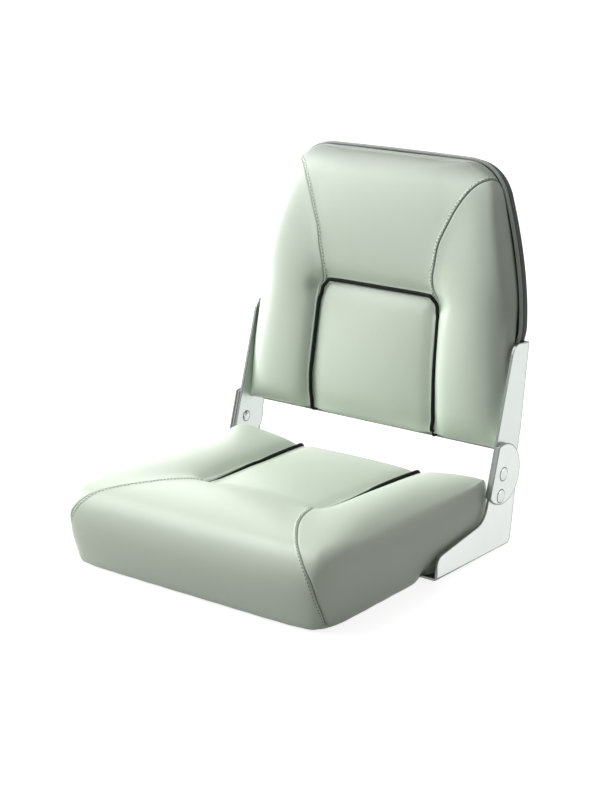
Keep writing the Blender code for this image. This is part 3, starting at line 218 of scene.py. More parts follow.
LIP_HEIGHT = 0.0007               # the cover's fold, beside a piping
LIP_OFFSET = 0.0036
LIP_WIDTH = 0.0011
PLAIN_DEPTH_SHARE = 0.6
PLAIN_LINE_OFFSET = 0.0006        # a plain seam's line is fainter than a topstitched one's
# painted light: the lit left-hand seams' lines are lightened by this offset
LIT_SIDE_LINE_OFFSET = 0.0005
RIM_PAINTED_SHADE_SHARE = 0.35             # painted shade at the rim's tuck reaches further out than a seam's line
CORNER_DENT_DEPTH = 0.0045        # where the head's seams meet the centre panel's corners
CORNER_DENT_REACH = 0.013
CORNER_DENT_OUT = 0.009
CORNER_DENT_DOWN = 0.004
TOE_DENT = (0.1990, -0.012, 0.004)    # where the cover is tucked in ahead of the arm's toe, with painted shade in its hollow
TOE_DENT_DEPTH = 0.006
TOE_DENT_REACH = 0.013
# reach of the painted shade in a dark dent
DENT_PAINTED_SHADE = 0.0022
SEAM_REACH = 0.007                # within this distance of a seam the cover's mesh is finer

# Swelling of the pads
SEAT_ARM_FRONT_Y = 0.096          # behind this and below the next, the sides are held off the arms
BACK_ARM_TOP_Z = 0.285
CAGE_LEVELS = 3
SWELL_FRAMES = 20
SWELL_PRESSURE = 4.0
SWELL_CAP = 0.004
START_INSET = 0.0015
HOLD_REACH = 0.012
SWELL_SMOOTHINGS = 40
SIDE_SMOOTHINGS = 10

# Rear cover
COVER_INNER_REACH = 0.03
COVER_EDGE = 0.006
COVER_ROUND = 0.0055
COVER_ROUND_MIDDLE = 0.0016
COVER_CROWN = ((0.012, 0.0), (0.026, 0.0), (0.050, 0.0008), (0.080, 0.0022), (0.120, 0.003))

# Finishes
# Seam lines, and the dust and painted shade beside seams, at the rim's tuck and in dark dents
SEAM_AND_SHADE_LINE_WIDTHS = (0.0003, 0.0010)
SEAM_DUST_AND_SHADE_WIDTHS = (0.0, 0.005)
# Painted shade on the back's vinyl: darker on its right side and towards its top
SIDE_PAINTED_SHADE = 0.42
TOP_PAINTED_SHADE = 0.65
TOP_PAINTED_SHADE_HEIGHTS = (0.452, 0.482)
GRAIN_SCALE = 1300
GRAIN_DEPTH = 0.00022
PIPING_SHINE = 0.09
PIPING_ROUGHNESS = 0.38
REAR_SHINE = 0.12
FINE_DEPTH = 0.0001
# Painted shade on the sheet metal: its cut edges, a dark line along its edges and round each rivet
CUT_EDGE_SHADE_SHARE = 0.36
EDGE_PAINTED_SHADE = (0.04, 0.048, 0.043)
EDGE_SHADE_WIDTH = 0.0029
RIVET_SHADE_WIDTHS = (0.0006, 0.0016)    # of the painted shade round a rivet, from the rivet's edge
METAL_DEPTH = 0.00005
TURNED_DEPTH = 0.00004
TAIL_RADIUS = 0.0068
RIVETS = ((PIVOT.y, PIVOT.z), (GUIDE_Y, GUIDE_Z))
PLATE_BEVEL = 0.0006
CHEEK_BEVEL = 0.0005
BEVEL_SEGMENTS = 2
BEVEL_ANGLE = radians(35)
WELD_REACH = 0.00002

# Stage: each lamp's name, angle round from straight in front, height and power
LAMPS = (("key", -30, 58, 30), ("front_left", -57, 28, 33), ("high_left", -75, 58, 42),
         ("low_left", -90, 8, 105), ("rear_right", 120, 30, 12), ("rear_left", -140, 22, 16))
LAMP_SIZE = 1.8
LAMP_DISTANCE = 3.2
LAMP_AIM = (0, 0, 0.2)
AMBIENT = 0.08
FLOOR_Z = -0.0005
FLOOR_RADIUS = 30.0
FLOOR_COLOUR = (0.36, 0.36, 0.36)
FLOOR_GLOW = 0.84
FLOOR_FAR_GLOW = 0.16             # added far off, where the lamps' own light fades
FLOOR_FADE = (0.6, 2.5)


# Small helpers
def mix(first, second, share):
    return first + (second - first) * share


def clamp_share(value):
    return min(max(value, 0.0), 1.0)


def smooth_share(value):
    value = clamp_share(value)
    return value * value * (3 - 2 * value)


def mirrored(points):
    return [(-x, y, z) for x, y, z in points]


def new_object(name, mesh, material=None):
    item = bpy.data.objects.new(name, mesh)
    bpy.context.scene.collection.objects.link(item)
    if material:
        item.data.materials.clear()
        item.data.materials.append(material)
    return item


def mesh_from(bm, name):
    mesh = bpy.data.meshes.new(name)
    bm.to_mesh(mesh)
    bm.free()
    mesh.shade_smooth()
    return mesh


def applied(item):
    """The object's mesh with its modifiers applied, in place of the old one."""
    graph = bpy.context.evaluated_depsgraph_get()
    mesh = bpy.data.meshes.new_from_object(item.evaluated_get(graph))
    item.modifiers.clear()
    old = item.data
    item.data = mesh
    bpy.data.meshes.remove(old)
    return item


def points_of(mesh, attribute="co"):
    flat = np.zeros(len(mesh.vertices) * 3)
    mesh.vertices.foreach_get(attribute, flat)
    return flat.reshape(-1, 3)


def set_points(mesh, points):
    mesh.vertices.foreach_set("co", points.ravel())
    mesh.update()


def surface_of(item):
    mesh = item.data
    return BVHTree.FromPolygons([v.co for v in mesh.vertices], [p.vertices for p in mesh.polygons])


def run_along(points):
    """How far along the path each of its points lies."""
    return np.cumsum([0.0] + [(b - a).length for a, b in zip(points, points[1:])])


def smooth_path(points, step, closed=False):
    """A curve through the points, in even steps."""
    points = [Vector(point) for point in points]
    count = len(points)
    last = count if closed else count - 1
    fine = []
    for index in range(last):
        if closed:
            around = [points[(index + offset) % count] for offset in (-1, 0, 1, 2)]
        else:
            around = [points[min(max(index + offset, 0), count - 1)] for offset in (-1, 0, 1, 2)]
        before, start, end, after = around
        for part in range(CURVE_PARTS):
            t = part / CURVE_PARTS
            fine.append(0.5 * ((2 * start) + (end - before) * t
                               + (2 * before - 5 * start + 4 * end - after) * t ** 2
                               + (3 * start - before - 3 * end + after) * t ** 3))
    fine.append(points[0] if closed else points[-1])
    lengths = run_along(fine)
    steps = max(round(lengths[-1] / step), 2)
    marks = np.linspace(0, lengths[-1], steps + 1)
    if closed:
        marks = marks[:-1]
    array = np.array(fine)
    return [Vector([np.interp(mark, lengths, array[:, axis]) for axis in range(3)])
            for mark in marks]


def laid_on(surface, points, step=SEAM_STEP):
    """A path on a surface, near the given points."""
    near = [surface.find_nearest(Vector(point))[0] for point in points]
    fine = smooth_path(near, step)
    return [surface.find_nearest(point)[0] for point in fine]


def relaid(surface, line):
    """A fine path, laid again on a surface that has changed."""
    return laid_on(surface, line[::RELAY_STRIDE] + line[-1:])


# Cages
def grid_cage(columns, rows):
    bm = bmesh.new()
    bm.edges.layers.float.new("crease_edge")
    bmesh.ops.create_grid(bm, x_segments=columns, y_segments=rows, size=1.0)
    places = {}
    for vert in bm.verts:
        column = round((vert.co.x + 1) / 2 * columns)
        row = round((vert.co.y + 1) / 2 * rows)
        places[column, row] = vert
    return bm, places


def rim_of(bm):
    return [edge for edge in bm.edges if edge.is_boundary]


def grow_ring(bm, key_of, placer):
    """Extrude the open rim and place the new ring by its cage keys."""
    grown = bmesh.ops.extrude_edge_only(bm, edges=rim_of(bm))["geom"]
    fresh = [item for item in grown if isinstance(item, bmesh.types.BMVert)]
    keys = {}
    for vert in fresh:
        for edge in vert.link_edges:
            other = edge.other_vert(vert)
            if other in key_of and other not in keys:
                keys[vert] = key_of[other]
    for vert in fresh:
        vert.co = placer(*keys[vert])
    return keys


def crease_edges(bm, chosen, sharpness=1.0):
    layer = bm.edges.layers.float["crease_edge"]
    for edge in chosen:
        edge[layer] = sharpness


def in_seam(column, half, row, seam_row, open_rows):
    along = abs(column - half) == SEAM_COLUMN and row in open_rows
    across = row == seam_row and abs(column - half) <= SEAM_COLUMN
    return along or across


def seam_edges(bm, key_of, half, seam_row, open_rows):
    found = []
    for edge in bm.edges:
        keys = [key_of.get(vert) for vert in edge.verts]
        if None in keys:
            continue
        if not all(in_seam(column, half, row, seam_row, open_rows) for column, row in keys):
            continue
        if keys[0][0] == keys[1][0] or keys[0][1] == keys[1][1] == seam_row:
            found.append(edge)
    return found


def pad_from_cage(name, bm, places, placers, half, seam_row, seam_rows, top, sharp_row):
    """A closed pad: the cage's top, rings down its sides and a flat base, then smoothed."""
    for (column, row), vert in places.items():
        vert.co = top(column, row)
    key_of = {vert: key for key, vert in places.items()}
    crease_edges(bm, seam_edges(bm, key_of, half, seam_row, seam_rows))
    for placer in placers:
        key_of.update(grow_ring(bm, key_of, placer))
    corners = ((0, sharp_row), (2 * half, sharp_row))
    crease_edges(bm, [edge for edge in bm.edges
                      if key_of[edge.verts[0]] == key_of[edge.verts[1]] in corners], CORNER_CREASE)
    crease_edges(bm, rim_of(bm))
    bmesh.ops.holes_fill(bm, edges=rim_of(bm), sides=0)
    bmesh.ops.recalc_face_normals(bm, faces=bm.faces)
    pad = new_object(name, mesh_from(bm, name))
    smooth = pad.modifiers.new("smooth", "SUBSURF")
    smooth.levels = CAGE_LEVELS
    smooth.render_levels = CAGE_LEVELS
    return applied(pad)


# Seat pad's form
def seam_run(y):
    return clamp_share((SEAT_REAR_Y - y) / (SEAT_REAR_Y - SEAT_CROSS_SEAM_Y))


def seat_seam_x(y):
    return mix(SEAT_SEAM_REAR_X, SEAT_SEAM_FRONT_X, seam_run(y))


def seat_height(x, y):
    """The height of the seat's top, before its edges are rounded."""
    width = abs(x)
    seam = seat_seam_x(y)
    low = mix(SEAT_CENTRE_REAR_Z, SEAT_CENTRE_FRONT_Z, seam_run(y))
    share = (SEAT_REAR_Y - y) / (2 * SEAT_HALF_DEPTH)
    rise = smooth_share(share / SEAT_BOLSTER_RISE_SHARE)
    crest = mix(SEAT_BOLSTER_REAR_Z, SEAT_BOLSTER_FRONT_Z, rise)
    if width <= seam:
        rear_fade = smooth_share(share / SEAT_CROWN_FADE_SHARE)
        height = low + SEAT_CENTRE_CROWN * rear_fade * (1 - (width / seam) ** 2)
    else:
        run = (width - seam) / (SEAT_BOLSTER_CREST_X - seam)
        straight = clamp_share((width - seam) / (SEAT_REAR_CREST_X - seam))
        bend = smooth_share(share / SEAT_REAR_BEND_SHARE)
        height = mix(low, crest, mix(straight, 1 - max(1 - run, 0.0) ** 2, bend))
        past = max(width - SEAT_BOLSTER_CREST_X, 0.0) / (SEAT_HALF_WIDTH - SEAT_BOLSTER_CREST_X)
        height -= SEAT_SIDE_FALL * bend * past ** 2
    ahead = (SEAT_CROSS_SEAM_Y - y) / (SEAT_CROSS_SEAM_Y - SEAT_NOSE_CREST_Y)
    if ahead > 0:
        nose = mix(height, SEAT_NOSE_Z, 1 - max(1 - ahead, 0.0) ** 2)
        past = max(SEAT_NOSE_CREST_Y - y, 0.0) / (SEAT_NOSE_CREST_Y - SEAT_FRONT_Y)
        height = nose - SEAT_NOSE_FALL * past ** 2
    return height


def squircle(s, t, power):
    pull = (abs(s) ** power + abs(t) ** power) ** (-1 / power) if s or t else 1.0
    return s * min(pull, 1.0), t * min(pull, 1.0)


def seat_form():
    half = len(SEAT_COLUMN_SHARES)
    columns = 2 * half
    rows = len(SEAT_ROW_SHARES) - 1
    bm, places = grid_cage(columns, rows)
    seam_row = SEAT_ROW_SHARES.index(None)
    seam_rows = range(seam_row, rows + 1)
    cross_share = (SEAT_CROSS_SEAM_Y - SEAT_MID_Y) / SEAT_HALF_DEPTH

    def column_share(column, y):
        index = column - half
        if index == 0:
            return 0.0
        share = SEAT_COLUMN_SHARES[abs(index) - 1]
        if share is None:
            share = seat_seam_x(y) / (SEAT_HALF_WIDTH - SEAT_SIDE_INSET)
        return share if index > 0 else -share

    def plan(column, row, half_width, front_y, rear_y):
        t = cross_share if SEAT_ROW_SHARES[row] is None else SEAT_ROW_SHARES[row]
        s = column_share(column, SEAT_MID_Y + t * SEAT_HALF_DEPTH)
        if column in (0, columns) or row in (0, rows):
            s, t = squircle(s, t, SEAT_FRONT_SQUARENESS if t < 0 else SEAT_REAR_SQUARENESS)
        return s * half_width, mix(front_y, rear_y, (t + 1) / 2)

    def top(column, row):
        inset = SEAT_REAR_SIDE_INSET if row >= rows - 1 else SEAT_SIDE_INSET
        x, y = plan(column, row, SEAT_HALF_WIDTH - inset, SEAT_FRONT_Y + SEAT_FRONT_INSET,
                    SEAT_REAR_Y - SEAT_REAR_INSET)
        z = seat_height(x, y)
        if column in (0, columns) and row < rows - 1 or row == 0:
            z -= SEAT_RIM_DROP
        if in_seam(column, half, row, seam_row, seam_rows):
            z -= SEAM_DEPTH
        return x, y, z

    def shoulder(column, row):
        x, y = plan(column, row, SEAT_HALF_WIDTH, SEAT_FRONT_Y, SEAT_REAR_Y)
        drop = {0: SEAT_FRONT_DROP, rows - 1: SEAT_REAR_SIDE_DROP, rows: SEAT_REAR_SIDE_DROP}.get(
            row, SEAT_SIDE_DROP)
        return x, y, seat_height(x, y) - drop

    def waist(column, row):
        x, y = plan(column, row, SEAT_HALF_WIDTH, SEAT_FRONT_Y, SEAT_REAR_Y)
        return x, y, SEAT_SIDE_Z

    def hem(column, row):
        x, y = plan(column, row, SEAT_BASE_HALF_WIDTH, SEAT_BASE_FRONT_Y, SEAT_BASE_REAR_Y)
        return x, y, SEAT_BOTTOM_Z + BASE_ROUND

    def sole(column, row):
        x, y = plan(column, row, SEAT_BASE_HALF_WIDTH - BASE_ROUND, SEAT_BASE_FRONT_Y + BASE_ROUND,
                    SEAT_BASE_REAR_Y - BASE_ROUND)
        return x, y, SEAT_BOTTOM_Z

    return pad_from_cage("seat_pad", bm, places, (shoulder, waist, hem, sole), half, seam_row,
                         seam_rows, top, rows)


# Back pad's form, in the back's own frame
def back_half_width(z):
    if z <= BACK_WIDEST_Z:
        share = (z - UPPER_ARM_TOP) / (BACK_WIDEST_Z - UPPER_ARM_TOP)
        return mix(BACK_LOW_HALF_WIDTH, BACK_HALF_WIDTH, smooth_share(share))
    share = (z - BACK_WIDEST_Z) / (BACK_SHOULDER_Z - BACK_WIDEST_Z)
    return mix(BACK_HALF_WIDTH, BACK_SHOULDER_HALF_WIDTH, share ** BACK_TAPER_POWER)


def rounded_half_width(z):
    if z <= BACK_SHOULDER_Z:
        return back_half_width(z)
    crown_z = BACK_TOP_Z - BACK_TOP_SAG
    share = min((z - BACK_SHOULDER_Z) / (crown_z - BACK_SHOULDER_Z), 1.0)
    round_share = 1 - (1 - share ** 2) ** (1 / 2)
    return mix(BACK_SHOULDER_HALF_WIDTH, BACK_CAGE_CROWN_HALF_WIDTH, round_share)


def panel_share(z):
    return clamp_share((z - BACK_BOTTOM_Z) / (BACK_PANEL_TOP_Z - BACK_BOTTOM_Z))


def panel_x(z):
    return mix(BACK_PANEL_LOW_X, BACK_PANEL_HIGH_X, panel_share(z))


def back_depth(x, z):
    """How far the back's front stands forward of its piping."""
    width = abs(x)
    inside = panel_share(z)
    seam = panel_x(z)
    groove = mix(BACK_PANEL_LOW_DEPTH, BACK_PANEL_HIGH_DEPTH, inside)
    bulge = 4 * inside * (1 - inside)
    panel = groove + BACK_PANEL_CROWN * bulge * (1 - min(width / seam, 1.0) ** 2)
    run = clamp_share((width - seam) / (BACK_BOLSTER_CREST_X - seam))
    bolster = mix(groove, BACK_BOLSTER_DEPTH, 1 - (1 - run) ** 2)
    past = max(width - BACK_BOLSTER_CREST_X, 0.0) / (BACK_HALF_WIDTH - BACK_BOLSTER_CREST_X)
    bolster -= BACK_BOLSTER_FALL * past ** 2
    depth = panel if width <= seam else bolster
    if z > BACK_PANEL_TOP_Z:
        rise = min((z - BACK_PANEL_TOP_Z) / (BACK_HEAD_CREST_Z - BACK_PANEL_TOP_Z), 1.0)
        depth = mix(depth, BACK_HEAD_DEPTH, 1 - (1 - rise) ** 2)
        past = max(z - BACK_HEAD_CREST_Z, 0.0) / (BACK_TOP_Z - BACK_HEAD_CREST_Z)
        depth -= BACK_HEAD_FALL * past ** BACK_HEAD_FALL_POWER
    thin = 1 - smooth_share((z - BACK_BOTTOM_Z) / BACK_LOW_TAPER)
    return depth - BACK_LOW_THINNING * thin


def side_lean(z):
    """How far in from the outline the pad's side has come where it meets the front."""
    bulge = BACK_BULGE * (1 - smooth_share((z - BACK_SLOPE_START_Z) /
                                           (BACK_BULGE_END_Z - BACK_SLOPE_START_Z)))
    lower = smooth_share((z - BACK_SLOPE_START_Z) / (BACK_SLOPE_FULL_Z - BACK_SLOPE_START_Z))
    upper = smooth_share((z - BACK_SLOPE_FULL_Z) / (BACK_TOP_Z - BACK_SLOPE_FULL_Z))
    return BACK_SLOPE * lower + (BACK_SLOPE_TOP - BACK_SLOPE) * upper - bulge


def back_form():
    half = len(BACK_COLUMN_SHARES)
    columns = 2 * half
    rows = len(BACK_ROW_SHARES) - 1
    bm, places = grid_cage(columns, rows)
    seam_row = BACK_ROW_SHARES.index(None)
    seam_rows = range(seam_row + 1)
    panel_top_share = (BACK_PANEL_TOP_Z - BACK_BOTTOM_Z) / (BACK_TOP_Z - BACK_BOTTOM_Z)

    def plan(column, row, inset, lean_share):
        share = panel_top_share if BACK_ROW_SHARES[row] is None else BACK_ROW_SHARES[row]
        z = mix(BACK_BOTTOM_Z + inset, BACK_TOP_Z - inset, share)
        index = column - half
        if index == 0:
            return 0.0, z
        rim_z = mix(BACK_BOTTOM_Z, BACK_TOP_Z, share)
        width = rounded_half_width(rim_z) - inset - side_lean(z) * lean_share
        share = BACK_COLUMN_SHARES[abs(index) - 1]
        if share is None:
            share = min(panel_x(z) / width, BACK_SEAM_TOP_SHARE)
        x = share * width
        if row == 0 and abs(index) == half:
            x -= BACK_LOW_CORNER
            z += BACK_LOW_CORNER
        return (x if index > 0 else -x), z

    def placed(x, y, z):
        return BACK_FRAME @ Vector((x, y, z))

    def front(column, row):
        x, z = plan(column, row, BACK_EDGE_INSET, 1.0)
        depth = back_depth(x, z)
        if column in (0, columns) or row in (0, rows):
            depth -= BACK_RIM_DROP
        if in_seam(column, half, row, seam_row, seam_rows):
            depth -= SEAM_DEPTH
        return placed(x, BACK_PIPING_Y - depth, z)

    def shoulder(column, row):
        x, z = plan(column, row, 0.0, 1.0)
        depth = max(back_depth(x, z) - BACK_SHOULDER_DROP, BACK_SIDE_DEPTH)
        return placed(x, BACK_PIPING_Y - depth, z)

    def top_drop(row):
        return BACK_TOP_DROP if row == rows else 0.0

    def waist(column, row):
        x, z = plan(column, row, 0.0, BACK_WAIST_LEAN_SHARE)
        return placed(x, BACK_PIPING_Y - BACK_SIDE_DEPTH / 2, z - top_drop(row) / 2)

    def tuck(column, row):
        x, z = plan(column, row, 0.0, BACK_TUCK_LEAN_SHARE)
        return placed(x, BACK_PIPING_Y - BACK_TUCK_DEPTH, z - top_drop(row))

    def hem(column, row):
        x, z = plan(column, row, BACK_TUCK_INSET, 0.0)
        return placed(x, BACK_PIPING_Y, z)

    return pad_from_cage("back_pad", bm, places, (shoulder, waist, tuck, hem), half, seam_row,
                         seam_rows, front, 0)


def back_outline():
    """The back's outline at its piping, anticlockwise from the middle of its lower edge."""
    corner = BACK_EDGE_INSET
    low = [(BACK_LOW_HALF_WIDTH * share, BACK_BOTTOM_Z) for share in (0.25, 0.5, 0.75)]
    centre = (BACK_LOW_HALF_WIDTH - corner, BACK_BOTTOM_Z + corner)
    turn = [(centre[0] + corner * cos(angle), centre[1] + corner * sin(angle))
            for angle in np.linspace(-pi / 2, 0, 5)]
    sides = [(back_half_width(z), z)
             for z in np.linspace(BACK_BOTTOM_Z + corner, BACK_SHOULDER_Z, 16)]
    crown_z = BACK_TOP_Z - BACK_TOP_SAG
    start = Vector(sides[-1])
    control = Vector((BACK_SHOULDER_HALF_WIDTH - BACK_CORNER_LEAN, crown_z))
    end = Vector((BACK_CROWN_HALF_WIDTH, crown_z))
    shoulder = []
    for share in np.linspace(0, 1, 9)[1:-1]:
        first = start.lerp(control, share)
        shoulder.append(tuple(first.lerp(control.lerp(end, share), share)))
    top = [(BACK_CROWN_HALF_WIDTH * share, BACK_TOP_Z - BACK_TOP_SAG * share ** 2)
           for share in (1.0, 0.66, 0.33)]
    right = low + turn + sides[1:] + shoulder + top
    left = [(-x, z) for x, z in reversed(right)]
    return [(0.0, BACK_BOTTOM_Z)] + right + [(0.0, BACK_TOP_Z)] + left


# Soft surfaces
def distance_to(points, paths):
    """The distance of each point from the nearest of some fine paths."""
    tree_points = [point for path in paths for point in path]
    tree = KDTree(len(tree_points))
    for index, point in enumerate(tree_points):
        tree.insert(point, index)
    tree.balance()
    return np.array([tree.find(point)[2] for point in points])


def signed_distance(mesh, path):
    """Distance from a path on the mesh, positive on its left as seen from outside."""
    points = points_of(mesh)
    normals = points_of(mesh, "normal")
    tree = KDTree(len(path))
    for index, point in enumerate(path):
        tree.insert(point, index)
    tree.balance()
    line = np.array(path)
    ahead = np.gradient(line, axis=0)
    ahead /= np.linalg.norm(ahead, axis=1)[:, None]
    nearest = np.array([tree.find(point)[1] for point in points])
    delta = points - line[nearest]
    side = np.cross(normals, ahead[nearest])
    across = (delta * side).sum(1)
    along = (delta * ahead[nearest]).sum(1)
    past_end = (nearest == 0) | (nearest == len(path) - 1)
    off = np.sqrt(np.maximum((delta ** 2).sum(1) - across ** 2 - along ** 2, 0))
    size = np.sqrt(across ** 2 + off ** 2 + np.where(past_end, along, 0) ** 2)
    return np.where(across < 0, -size, size)


def evened(mesh, values, rounds):
    """Values on the mesh's points, each drawn towards the mean of its neighbours."""
    pairs = np.zeros(len(mesh.edges) * 2, np.int64)
    mesh.edges.foreach_get("vertices", pairs)
    first, second = pairs.reshape(-1, 2).T
    count = np.bincount(pairs, minlength=len(values))
    for _ in range(rounds):
        total = np.bincount(first, values[second], len(values))
        total += np.bincount(second, values[first], len(values))
        values = (values + total / count) / 2
    return values


def swell(pad, paths, beside_arm):
    """Blow the cover up off a slightly smaller pad, held at its seams and kept off the arms."""
    mesh = pad.data
    rest = points_of(mesh)
    normals = points_of(mesh, "normal")
    held = 1 - np.clip(distance_to(rest, paths) / HOLD_REACH, 0, 1)
    start = rest - normals * (START_INSET * (1 - held))[:, None]
    set_points(mesh, start)
    group = pad.vertex_groups.new(name="held")
    for index, weight in enumerate(held):
        group.add([index], float(weight > 0.75), "REPLACE")
    cloth = pad.modifiers.new("swell", "CLOTH")
    cloth.settings.vertex_group_mass = group.name
    cloth.settings.use_pressure = True
    cloth.settings.uniform_pressure_force = SWELL_PRESSURE
    cloth.settings.effector_weights.gravity = 0
    cloth.point_cache.frame_start = 1
    cloth.point_cache.frame_end = SWELL_FRAMES
    for step in range(1, SWELL_FRAMES + 1):
        bpy.context.scene.frame_set(step)
    graph = bpy.context.evaluated_depsgraph_get()
    moved = points_of(pad.evaluated_get(graph).data)
    pad.modifiers.clear()
    pad.vertex_groups.clear()
    bpy.context.scene.frame_set(1)
    puff = evened(mesh, np.clip(((moved - start) * normals).sum(1), -SWELL_CAP, SWELL_CAP),
                  SWELL_SMOOTHINGS)
    share = evened(mesh, 1 - normals[:, 0] ** 2 * beside_arm(rest), SIDE_SMOOTHINGS)
    points = rest + (start + normals * puff[:, None] - rest) * share[:, None]
    set_points(mesh, points)


def refined(pad, paths):
    """One subdivision all over, and two more cuts along the seams."""
    smooth = pad.modifiers.new("smooth", "SUBSURF")
    smooth.levels = 1
    smooth.render_levels = 1
    applied(pad)
    bm = bmesh.new()
    bm.from_mesh(pad.data)
    near = distance_to([vert.co for vert in bm.verts], paths) < SEAM_REACH
    edges = [edge for edge in bm.edges if near[edge.verts[0].index] and near[edge.verts[1].index]]
    bmesh.ops.subdivide_edges(bm, edges=edges, cuts=2, use_grid_fill=True)
    old = pad.data
    pad.data = mesh_from(bm, pad.name)
    bpy.data.meshes.remove(old)


def store(mesh, name, values):
    layer = mesh.attributes.new(name, "FLOAT", "POINT")
    layer.data.foreach_set("value", np.asarray(values, np.float32))


def sew(pad, topstitched, plain, piped, rim=(), dents=()):
    """Press the seams into the cover: a groove, and a welt on the stitched side; store their lines,
    with painted shade at the rim's tuck and in dark dents.
    """
    mesh = pad.data
    points = points_of(mesh)
    normals = points_of(mesh, "normal")
    push = np.zeros(len(points))
    line = np.full(len(points), 1.0)
    for path, side, painted_light_offset in topstitched:
        across = signed_distance(mesh, path) * side
        inside = np.clip(across / WELT_WIDTH, 0, 1)
        push += WELT_HEIGHT * (1 - inside) ** 2 * (1 - np.exp(-(inside * WELT_SHARPNESS) ** 2))
        push -= ROW_DEPTH * np.exp(-((across - STITCH_OFFSET) / ROW_WIDTH) ** 2)
        below = np.clip((DEEP_GROOVE_Z - points[:, 2]) / DEEP_GROOVE_FADE, 0, 1)
        deep = 1 + DEEP_GROOVE_GROWTH * below
        push -= GROOVE_DEPTH * deep * np.exp(-(across / (GROOVE_WIDTH * deep)) ** 2)
        push -= VALLEY_DEPTH * np.exp(-(across / VALLEY_WIDTH) ** 2)
        # painted light: a lit seam's offset lightens its line
        line = np.minimum(line, np.abs(across) + painted_light_offset)
    for path in plain:
        across = signed_distance(mesh, path)
        push -= GROOVE_DEPTH * PLAIN_DEPTH_SHARE * np.exp(-(across / GROOVE_WIDTH) ** 2)
        line = np.minimum(line, np.abs(across) + PLAIN_LINE_OFFSET)
    for path in piped:
        across = signed_distance(mesh, path)
        push -= PIPED_VALLEY_DEPTH * np.exp(-(across / PIPED_VALLEY_WIDTH) ** 2)
        push += LIP_HEIGHT * np.exp(-((np.abs(across) - LIP_OFFSET) / LIP_WIDTH) ** 2)
    for spot, depth, reach, dark in dents:
        share = np.exp(-(distance_to(points, [[spot]]) / reach) ** 2)
        push -= depth * share
        # painted shade in the dent's hollow
        if dark:
            line = np.minimum(line, DENT_PAINTED_SHADE * (1 - share))
    # painted shade in the tuck beside the rim's piping
    if rim:
        away = np.maximum(distance_to(points, [rim]) - PIPING_RADIUS, 0)
        line = np.minimum(line, away * RIM_PAINTED_SHADE_SHARE)
    set_points(mesh, points + normals * push[:, None])
    store(mesh, "seam", line)


def stitches(name, pad, path, offset, material):
    """A row of thread beside a seam: short stitches, half sunk into the cover."""
    surface = surface_of(pad)
    lengths = run_along(path)
    line = np.array(path)

    def on_seam(mark):
        return Vector([np.interp(mark, lengths, line[:, axis]) for axis in range(3)])

    def beside_seam(mark):
        spot = on_seam(mark)
        ahead = (on_seam(mark + SEAM_STEP) - spot).normalized()
        side = surface.find_nearest(spot)[1].cross(ahead)
        return surface.find_nearest(spot + side * offset)[:2]

    bm = bmesh.new()
    for mark in np.arange(STITCH_PITCH, lengths[-1] - STITCH_PITCH, STITCH_PITCH):
        start, normal = beside_seam(mark - STITCH_LENGTH / 2)
        end = beside_seam(mark + STITCH_LENGTH / 2)[0]
        along = end - start
        turn = along.to_track_quat("X", "Z").to_matrix().to_4x4()
        size = Matrix.Diagonal((along.length / 2, STITCH_RADIUS, STITCH_RADIUS, 1))
        middle = (start + end) / 2 + normal * STITCH_RADIUS * STITCH_LIFT_SHARE
        bmesh.ops.create_uvsphere(bm, u_segments=6, v_segments=6, radius=1.0,
                                  matrix=Matrix.Translation(middle) @ turn @ size)
    return new_object(name, mesh_from(bm, name), material)


def piping_path(surface, line, share_at):
    """The cord's centre line above a seam's floor, raised by a share of its radius."""
    length = len(line) * SEAM_STEP
    path = []
    for index, point in enumerate(line[::PIPING_STRIDE] + line[-1:]):
        spot, normal = surface.find_nearest(point)[:2]
        share = share_at(index * PIPING_STRIDE * SEAM_STEP, length)
        path.append(spot + normal * PIPING_RADIUS * share)
    return smooth_path(path, CORD_STEP)


def seat_piping_share(run, _):
    """It lies low at the cross seam and comes up to its full height towards the rear."""
    rise = smooth_share(run / SEAT_PIPING_SINK_LENGTH)
    return mix(SEAT_PIPING_SINK_SHARE, SEAT_PIPING_RISE_SHARE, rise)


def panel_piping_share(run, length):
    """It stands proud at the lower edge and lies lower along the top of the panel."""
    near_end = 1 - smooth_share(min(run, length - run) / PANEL_PIPING_RISE_LENGTH)
    return mix(PIPING_LOW_SHARE, PIPING_HIGH_SHARE, near_end)


def cord_mesh(name, path, radius, material, closed=False):
    """A round piping cord along a fine path."""
    curve = bpy.data.curves.new(name, "CURVE")
    curve.dimensions = "3D"
    curve.bevel_depth = radius
    curve.bevel_resolution = 4
    curve.use_fill_caps = True
    spline = curve.splines.new("POLY")
    spline.points.add(len(path) - 1)
    for spot, point in zip(spline.points, path):
        spot.co = (*point, 1.0)
    spline.use_cyclic_u = closed
    item = bpy.data.objects.new(name, curve)
    bpy.context.scene.collection.objects.link(item)
    graph = bpy.context.evaluated_depsgraph_get()
    mesh = bpy.data.meshes.new_from_object(item.evaluated_get(graph))
    bpy.data.objects.remove(item)
    mesh.name = name
    bm = bmesh.new()
    bm.from_mesh(mesh)
    bmesh.ops.remove_doubles(bm, verts=bm.verts, dist=radius / 50)
    bmesh.ops.recalc_face_normals(bm, faces=bm.faces)
    bpy.data.meshes.remove(mesh)
    return new_object(name, mesh_from(bm, name), material)


